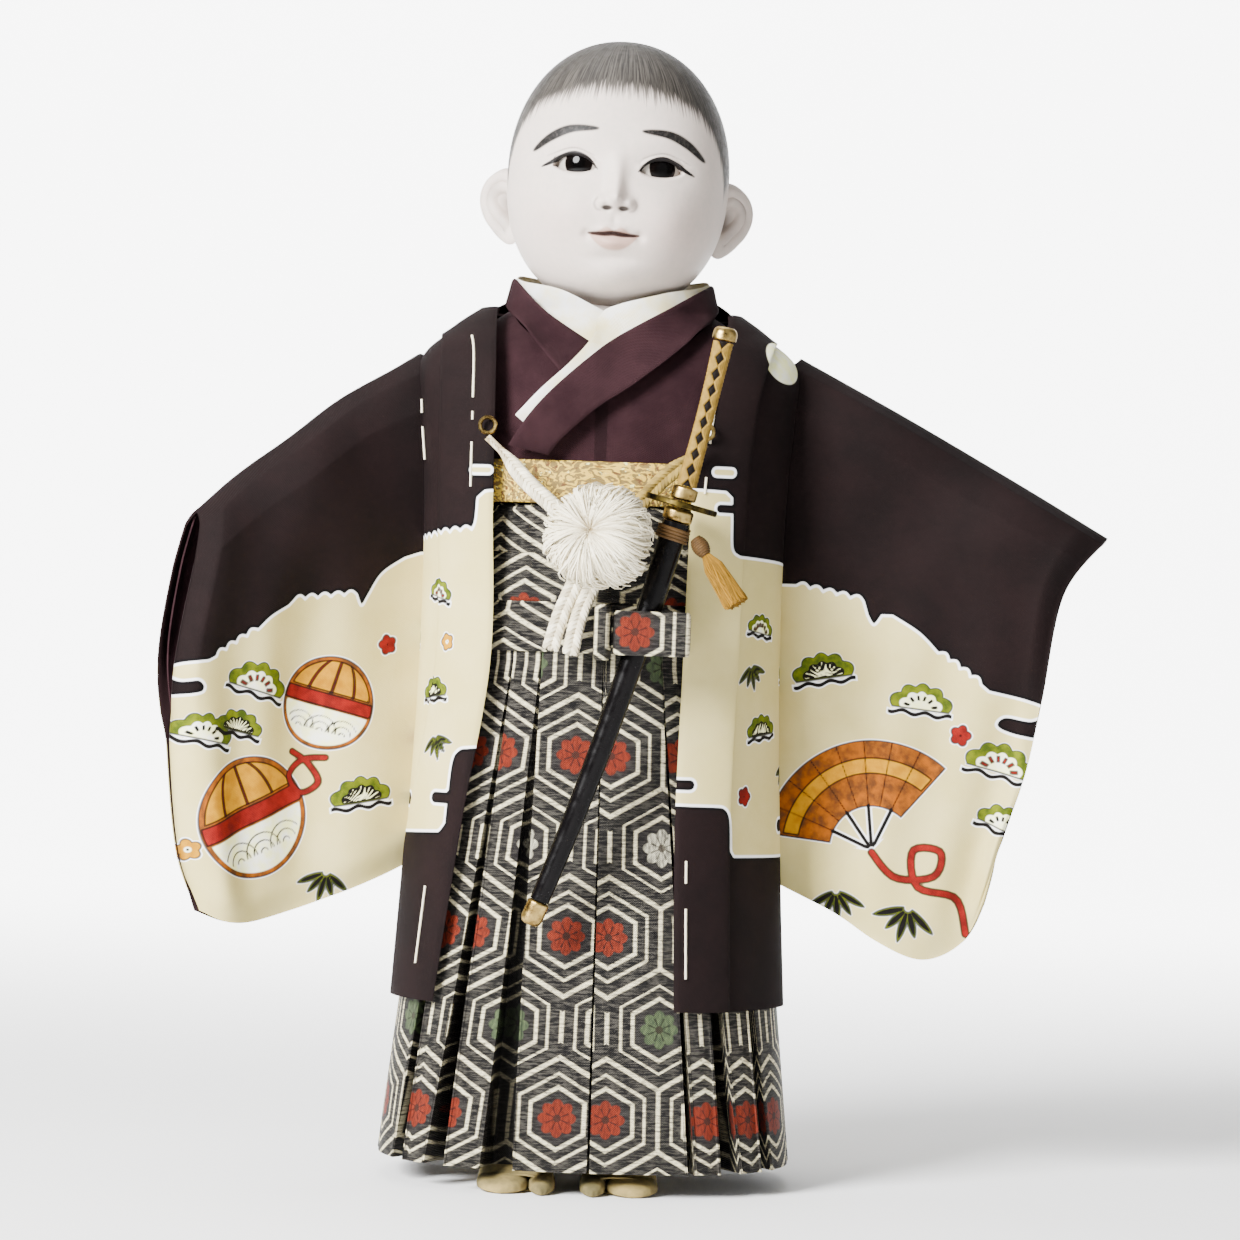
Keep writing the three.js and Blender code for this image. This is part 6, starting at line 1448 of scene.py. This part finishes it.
def kikko(name):
    """Hexagons within hexagons with a flower in each; colours change row by row."""
    p = Paint(name, Roughness=0.55, Specular_IOR_Level=0.12)
    half = (0.5, SINE_60, 0.5)
    low = tuple(-k for k in half)
    spot = p.cloth((1 / HEXAGON, 1 / HEXAGON, 0))

    def vec(operation, *values, out=0):
        return p.node("VectorMath", *values, operation=operation, out=out)

    even = vec("WRAP", spot, half, low)
    odd = vec("WRAP", vec("SUBTRACT", spot, half), half, low)
    nearer = p.math("LESS_THAN", vec("LENGTH", even, out=1), vec("LENGTH", odd, out=1))
    cell = p.node("Mix", nearer, None, None, None, odd, even, out=1, data_type="VECTOR")
    gx, gy = p.split(vec("SCALE", cell, None, None, HEXAGON))[:2]
    ax, ay = p.math("ABSOLUTE", gx), p.math("ABSOLUTE", gy)
    ring = p.math("MAXIMUM", ax, p.math("MULTIPLY_ADD", ay, SINE_60, p.times(ax, 0.5)))
    row = p.math("ROUND", p.math("DIVIDE", p.split(vec("SUBTRACT", spot, cell))[1], SINE_60))
    turn = p.math("FLOORED_MODULO", row, 4.0)

    def band(start, end):
        rise = p.range(ring, start - SOFT, start + SOFT)
        return p.times(rise, p.range(ring, end + SOFT, end - SOFT))

    angle = p.math("ARCTAN2", gy, gx)
    reach = p.math("SQRT", p.math("ADD", p.times(gx, gx), p.times(gy, gy)))
    petal = p.math("ABSOLUTE", p.math("COSINE", p.times(angle, 4.0)))
    edge = p.math("MULTIPLY_ADD", petal, 1.6, 5.2)
    flower = p.range(p.math("SUBTRACT", reach, edge), 0.35, -0.35)
    vein = p.times(p.range(p.math("SUBTRACT", reach, p.times(edge, 0.8)), 0.2, -0.2), p.range(petal, 0.5, 0.2))
    heart = p.range(reach, 1.6, 1.2)

    brush = p.noise(1, p.cloth((0.2, 1.3, 0)), 4, 0.7)
    cross = p.noise(1, p.cloth((1.1, 0.3, 0)), 3, 0.6)
    ground = p.ramp(brush, 0.44, 0.6, rgb(20, 18, 18), rgb(118, 112, 103))
    ground = p.mix(p.range(cross, 0.55, 0.75, 0.0, 0.6), ground, rgb(34, 31, 30))
    silver = p.ramp(brush, 0.3, 0.6, rgb(140, 136, 129), rgb(224, 221, 213))
    lines = p.math("ADD", band(8.9, 10.2), p.math("ADD", band(13.2, 14.2), band(17.9, 19.4)))
    whole = p.range(p.noise(1, p.cloth((0.9, 0.9, 0)), 3, 0.7), 0.3, 0.45, 0.25, 1.0)
    tone = p.mix(p.times(lines, whole), ground, silver)
    inner = p.range(ring, 8.6, 8.2)
    tone = p.mix(inner, tone, p.ramp(brush, 0.4, 0.65, rgb(30, 26, 26), rgb(96, 90, 84)))
    red, green, pale = (p.ramp(cross, 0.3, 0.7, rgb(*dull), rgb(*bright)) for dull, bright in (
        ((140, 50, 34), (186, 86, 56)), ((92, 104, 76), (138, 146, 112)), ((150, 146, 138), (214, 211, 202))))
    petals = p.mix(p.math("COMPARE", turn, 1.0, 0.1), red, green)
    petals = p.mix(p.math("COMPARE", turn, 3.0, 0.1), petals, pale)
    tone = p.mix(flower, tone, petals)
    tone = p.mix(p.times(vein, 0.75), tone, rgb(34, 26, 24))
    tone = p.mix(p.times(heart, 0.8), tone, rgb(60, 44, 36))
    # Painted shade: darkened towards black where the cloth lies deep in a pleat's fold
    p.colour(p.mix(p.times(p.layer("deep"), 0.85), tone, rgb(10, 9, 9)))
    p.bump(p.math("ADD", p.math("MULTIPLY_ADD", brush, 1.2, lines), p.weave(0.8)), 0.0002, 0.7)
    return p.material


brocade = kikko("silver_brocade")
FRONT_FOLDS = [(-44, -66, 1.8), (-31, -52.5, 3.6), (-20.8, -30.2, 6.0), (1.5, 2.3, 0.5),
               (22.4, 38.8, 1.3), (31, 52.9, 3.6), (43, 66, 1.8)]
FRONT_FLOWERS = [-76, -62, -51.6, -9.6, 8.2, 46, 61, 76]
BACK_FOLDS = [(-40, -56, 2.4), (-14, -20, 3.4), (14, 20, 3.4), (40, 56, 2.4)]
BACK_FLOWERS = [-66, -38, 0, 38, 66]
# Heights of the hem, of the pleats and of the lowest row of flowers, and the depth of the pleats at the hem
HEM_Z, PLEATS_HIGH, FLOWER_Z, PLEAT_DEEP = 9, 181, 28, 16.0


def hakama_panel(folds, flowers, back):
    """Pleated panel: columns of points with a fold tucked in behind each pleat's edge."""
    rows = shares(130)
    z = through(HAKAMA["height"], rows)
    rise = np.clip((z - HEM_Z) / PLEATS_HIGH, 0, 1)
    half = through(HAKAMA["width"], rows)
    middle = 120
    fine = np.linspace(-np.pi / 2, np.pi / 2, 2 * middle + 1)
    base = wrap(HAKAMA, rows[:, None], fine[None])
    steps = np.linalg.norm(np.diff(base, axis=1), axis=-1)
    arcs = np.concatenate([np.zeros((len(rows), 1)), np.cumsum(steps, 1)], 1)
    arcs = arcs - arcs[:, [middle]]

    def turn_at(x):
        return turn_of(HAKAMA, rows, np.clip(x, -0.985 * half, 0.985 * half))

    def along(turn):
        return np.array([np.interp(a, fine, arc) for a, arc in zip(turn, arcs)])

    lines = [lerp(hem, top, rise) for top, hem, _ in folds]
    gaps = [lerp(gap, 0.25, rise**0.8) for *_, gap in folds]
    bounds = [(np.full(len(rows), -np.pi / 2), None)]
    for line, gap in zip(lines, gaps):
        bounds.append((turn_at(line - gap), turn_at(line + gap)))
    bounds.append((None, np.full(len(rows), np.pi / 2)))
    columns, lifts, across = [], [], []
    for k, flower in enumerate(flowers):
        left = bounds[0][0] if k == 0 else bounds[k][1]
        right = bounds[-1][1] if k == len(flowers) - 1 else bounds[k + 1][0]
        ends = [lines[k - 1] if k else -half, lines[k] if k < len(lines) else half]
        share = np.clip((flower - ends[0][0]) / (ends[1][0] - ends[0][0]), -3, 4)
        reference = along(turn_at(lerp(ends[0], ends[1], share)))
        if not 0 <= share <= 1:
            reference = along(turn_at(ends[0])) + flower - ends[0][0]
        for t in shares(18):
            turn = lerp(left, right, t)
            columns.append(turn)
            rim = smooth(0.16, 0, t) + smooth(0.84, 1, t)
            lifts.append(0.7 * np.sin(np.pi * t) * (1 - 0.7 * rise) + 0.9 * rim * (1 - rise))
            across.append(along(turn) - reference)
        if k < len(folds):
            gap, line = gaps[k], lines[k]
            deep = lerp(PLEAT_DEEP, 1.2, rise**0.7) * (0.45 if folds[k][2] < 1 else 1)
            tuck = lerp(2.6, 0.6, rise)
            for aside, down in ((-1, 0.35), (-1, 0.8), (0, 1), (1, 0.8), (1, 0.35)):
                reach = gap + tuck * (1 if down > 0.5 else 0.6)
                turn = turn_at(line + aside * reach)
                columns.append(turn)
                lifts.append(-deep * down)
                across.append(along(turn) - reference)
    order = -1 if back else 1
    turn, lifts, across = (np.array(part)[::order] for part in (columns, lifts, across))
    points = wrap(HAKAMA, rows[None], np.pi - turn if back else turn, lifts)
    # The last value is a painted shade, 0 on the panel's face and 1 deep in a fold
    return points, cloth_map(across, z[None] - FLOWER_Z), twice(np.clip(-lifts / 5, 0, 1))


for name, folds, flowers, back in (
    ("front", FRONT_FOLDS, FRONT_FLOWERS, False),
    ("back", BACK_FOLDS, BACK_FLOWERS, True),
):
    # deep carries the painted shade in the pleats' folds
    points, uv, deep = hakama_panel(folds, flowers, back)
    cloth(f"hakama_{name}_brocade", [shell(points, 0.8)], brocade, "torso", [f"hakama_{name}"], uv,
          {"deep": deep})

# Waist ties wound three times, the bow and its knot
LAP_END, TIE_LOW, TIE_HIGH = math.radians(112), 193.7, 246.1
u = np.linspace(-1, 1, 120)[:, None]
v = shares(26)[None]
parts, maps = [], []
for k, (low, high, slope, shift) in enumerate((
    (TIE_LOW, 212.3, 0.8, 3), (211.6, 229.6, -0.6, 14), (228.8, 246.0, 0.3, 2),
)):
    level = lerp(low, high, v)
    t = station(HAKAMA, np.clip(level + slope * u * (1 - np.abs(2 * v - 1)), TIE_LOW, TIE_HIGH))
    lift = 0.9 + 1.3 * roll_of(v, 5) + 0.3 * (2 - k) * (1 - v) + 0.25 * np.sin(11 * u + 5 * k)
    points = wrap(HAKAMA, t, LAP_END * u, lift)
    parts.append(shell(points, 0.5))
    maps.append(cloth_map(u * 88 + 7 + 13 * k, level - FLOWER_Z + shift))
wide, tall = spread(points)
cloth("hakama_waist_tie_brocade", parts, brocade, "torso", ["hakama_waist_tie"], np.concatenate(maps))


# Place of the flower on the knot and the bow
KNOT_FLOWER_X, KNOT_FLOWER_Z = 12.3, 202


def loop_of_cloth(node, stretch, bow):
    """A flat loop of brocade standing on edge round an upright hole, as large as its CAD node."""
    low, high = (1000 * np.array(corner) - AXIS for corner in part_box(node))
    turn = lap_of(140)[:, None]
    v = shares(26)[None]
    middle, half = (low + high) / 2, (high - low) / 2
    grow = 0.8 * roll_of(v, 5) - 0.9
    c, s = (signed_power(part, 2 / stretch) for part in (np.cos(turn), np.sin(turn)))
    x = middle[0] + (half[0] + grow) * s
    y = middle[1] - (half[1] + grow) * c
    z = lerp(low[2] + 0.2, high[2] - 0.2, v) + bow * (1 - 2 * np.abs(v - 0.5)) * (x - middle[0]) / half[0]
    points = stacked(x, y, np.clip(z, low[2], high[2]))
    u = np.where(c + 0 * v > 0, x - KNOT_FLOWER_X, 60 + x)
    return points, cloth_map(u, points[..., 2] - KNOT_FLOWER_Z), shell(points, 0.9, ring=True)


for name, stretch, bow in (("hakama_bow", 7, 0.6), ("hakama_knot", 3.2, 0.0)):
    points, uv, part = loop_of_cloth(name, stretch, bow)
    cloth(name + "_brocade", [part], brocade, "torso", [name], uv)


# Split-toe socks
tabi_cloth = plain_cloth("tabi_cloth", rgb(158, 147, 116), rgb(208, 198, 168), 0.8)
FOOT = [[0, 0.38, 12], [0.05, 0.6, 22], [0.16, 0.74, 30], [0.34, 0.8, 28], [0.55, 0.9, 20], [0.74, 1, 13],
        [0.87, 0.94, 7.6], [0.93, 0.84, 6.4]]
TOES = [[0.0, 0.86, 9.0], [0.35, 1.0, 7.2], [0.7, 0.95, 6.0], [0.9, 0.72, 4.6], [0.97, 0.42, 3.2],
        [1.0, 0.02, 2.3]]
LEGS_MIDDLE, LEG_ASIDE, FOOT_HALF = -5, 18.7, 14.5


def foot_loft(sections, start, end, centre, half):
    """Rounded loft along the foot: [share along, share wide, height]."""
    table = np.array(sections, float)
    s = shares(40)
    reach = np.interp(s, shares(len(table)), table[:, 0])
    wide = np.clip(through(table[:, 1], s), 0.05, 2) * half
    high = np.clip(through(table[:, 2], s), 0.5, 60)
    angle = lap_of(56)[:, None]
    c, n = np.cos(angle), np.sin(angle)
    x = centre + wide * signed_power(c, 0.8)
    z = np.where(n > 0, 2.2 + (high - 2.2) * np.abs(n) ** 0.85, 2.2 - 2.0 * np.abs(n) ** 0.5)
    y = lerp(start, end, reach)
    return shell(stacked(x, y, z), 0.6, ring=True)


for side, name in ((1, "left"), (-1, "right")):
    leg = LEGS_MIDDLE + side * LEG_ASIDE
    verts, faces = merge(
        foot_loft(FOOT, 14.6, -52, leg, 13.6),
        foot_loft(TOES, -30, -56.6, leg - side * FOOT_HALF * 0.66, 4.7),
        foot_loft(TOES, -30, -55.0, leg + side * FOOT_HALF * 0.31, 9.4),
    )
    uv = stacked(verts[:, 0], verts[:, 1] + verts[:, 2])
    piece = build(f"{name}_tabi_cloth", verts, faces, tabi_cloth, "torso",
                  [f"{name}_tabi", f"{name}_tabi_sole"], uv)


# Running stitches in white thread along the coat's edges
stitches = []
for edge, side, share, spans in (
    (LEFT_EDGE, 1, 0.16, [(79, 104), (113, 121), (252, 258), (270, 288), (296, 300)]),
    (RIGHT_EDGE, -1, 0.3, [(80, 108), (252, 268), (276, 279), (284, 307)]),
):
    for low, high in spans:
        t = station(COAT, np.linspace(low, high, 14))
        stitches.append(wrap(COAT, t, collar_turn(edge, side, t, share), 2.05))
for low, high in ((262, 274), (279, 284)):
    t = station(COAT, np.linspace(low, high, 14))
    stitches.append(wrap(COAT, t, -np.pi / 2 + 0.3 + 0 * t, 0.4))
verts, faces = tubes(np.array(stitches), 0.45, 6, (0.2, 1, 0.1))
build("coat_stitches", verts, faces, cord_silk, "torso",
      layers={"shade": np.full(len(verts), 0.7)})


# Padded cloth of the body under the clothes
body_cloth = Paint("body_cloth", Roughness=0.9)
weft = body_cloth.noise(90, body_cloth.place(), 4)
body_cloth.colour(body_cloth.mix(weft, rgb(196, 184, 160), rgb(226, 216, 196)))
body_cloth.bump(body_cloth.noise(800, body_cloth.place()), 0.0003, 0.5)
for node, body, stuff, slot, slim in (
    ("midriff", "torso", body_cloth.material, "body_cloth", 0.98),
    ("left_upper_arm", "left_arm", kimono_silk, "kimono_silk", 0.62),
    ("right_upper_arm", "right_arm", kimono_silk, "kimono_silk", 0.62),
):
    source = frame["nodes"][node].data
    verts = np.empty(3 * len(source.vertices), np.float32)
    source.vertices.foreach_get("co", verts)
    verts = 1000 * verts.reshape(-1, 3) - AXIS
    centre = verts.mean(0)
    axis = np.linalg.svd(verts - centre, full_matrices=False)[2][0]
    along = ((verts - centre) @ axis)[:, None] * axis
    verts = centre + 0.98 * along + slim * (verts - centre - along)
    tris = np.array([tuple(f.vertices) for f in source.polygons], np.int32)
    piece = build(node + "_padding", verts, tris, stuff, body, [node], crease=70)

# CAD pieces that stay as they are: hard parts, most of them under the clothes
steel = metal("steel", rgb(150, 152, 156), rgb(206, 208, 212), 0.22)
body_wood = wood("body_wood", rgb(150, 116, 74), rgb(196, 164, 116))
board = plain_cloth("back_board_cloth", rgb(60, 56, 54), rgb(150, 146, 138))
for node, material in (
    ("chest", body_wood), ("pelvis", body_wood), ("left_leg", body_wood), ("right_leg", body_wood),
    ("left_forearm", skin.material), ("right_forearm", skin.material),
    ("sword_blade", steel), ("sword_blade_collar", brass), ("hakama_back_board", board),
    ("coat_left_hook", brass), ("coat_right_hook", brass),
):
    materials = frame["nodes"][node].data.materials
    materials.clear()
    materials.append(material)


# Pale swept floor and soft studio light
FLOOR_END, BEND, WALL_HIGH = 1500, 900, 5000
bend = np.linspace(0.1, np.pi / 2, 16)
wall_y = FLOOR_END + BEND * np.append(np.sin(bend), 1)
sweep_y = np.concatenate([np.linspace(-4000, FLOOR_END, 12), wall_y])
sweep_z = np.concatenate([np.zeros(12), BEND * (1 - np.cos(bend)), [WALL_HIGH]]) - 0.02
sweep_x = np.linspace(-5000, 5000, 8)[:, None]
points = stacked(sweep_x, sweep_y, sweep_z)
paper = Paint("paper", Roughness=0.95, Specular_IOR_Level=0.0)
paper.colour(paper.mix(paper.noise(3, paper.place()), (0.9, 0.9, 0.9, 1), (0.94, 0.94, 0.94, 1)))
spot = paper.split(paper.place())
glow = paper.range(spot[1], 0.12, 1.5, 0.0, 5.5)
beside = paper.range(paper.math("ABSOLUTE", spot[0]), 0.75, 1.1, 1.0, 0.1)
above = paper.range(spot[2], 0.95, 1.3, 1.0, 0.1)
glow = paper.times(glow, paper.times(beside, above))
paper.link(paper.shader.inputs["Emission Strength"], glow)
paper.shader.inputs["Emission Color"].default_value = (1, 1, 1, 1)
faces = grid_faces(*points.shape[:2])[:, ::-1]
backdrop = build("backdrop", points.reshape(-1, 3), faces, paper.material, None)

world_light = bpy.data.worlds.new("studio")
bpy.context.scene.world = world_light
world_light.use_nodes = True
background = world_light.node_tree.nodes["Background"]
background.inputs["Color"].default_value = (1, 1, 1, 1)
background.inputs["Strength"].default_value = 0.24


def soft_light(name, at, towards, size, power):
    data = bpy.data.lights.new(name, "AREA")
    data.shape = "DISK"
    data.size = size
    data.energy = power
    light = bpy.data.objects.new(name, data)
    bpy.context.collection.objects.link(light)
    light.location = world(at)
    aim = unit(np.array(towards, float) - np.array(at, float))
    light.rotation_euler = Vector(aim).to_track_quat("-Z", "Y").to_euler()


soft_light("key", [-1150, -1350, 1000], [0, 0, 220], 0.8, 185)
soft_light("fill", [1300, -1300, 500], [0, 0, 200], 1.4, 3)
soft_light("top", [-200, 100, 1700], [0, 0, 200], 1.2, 18)
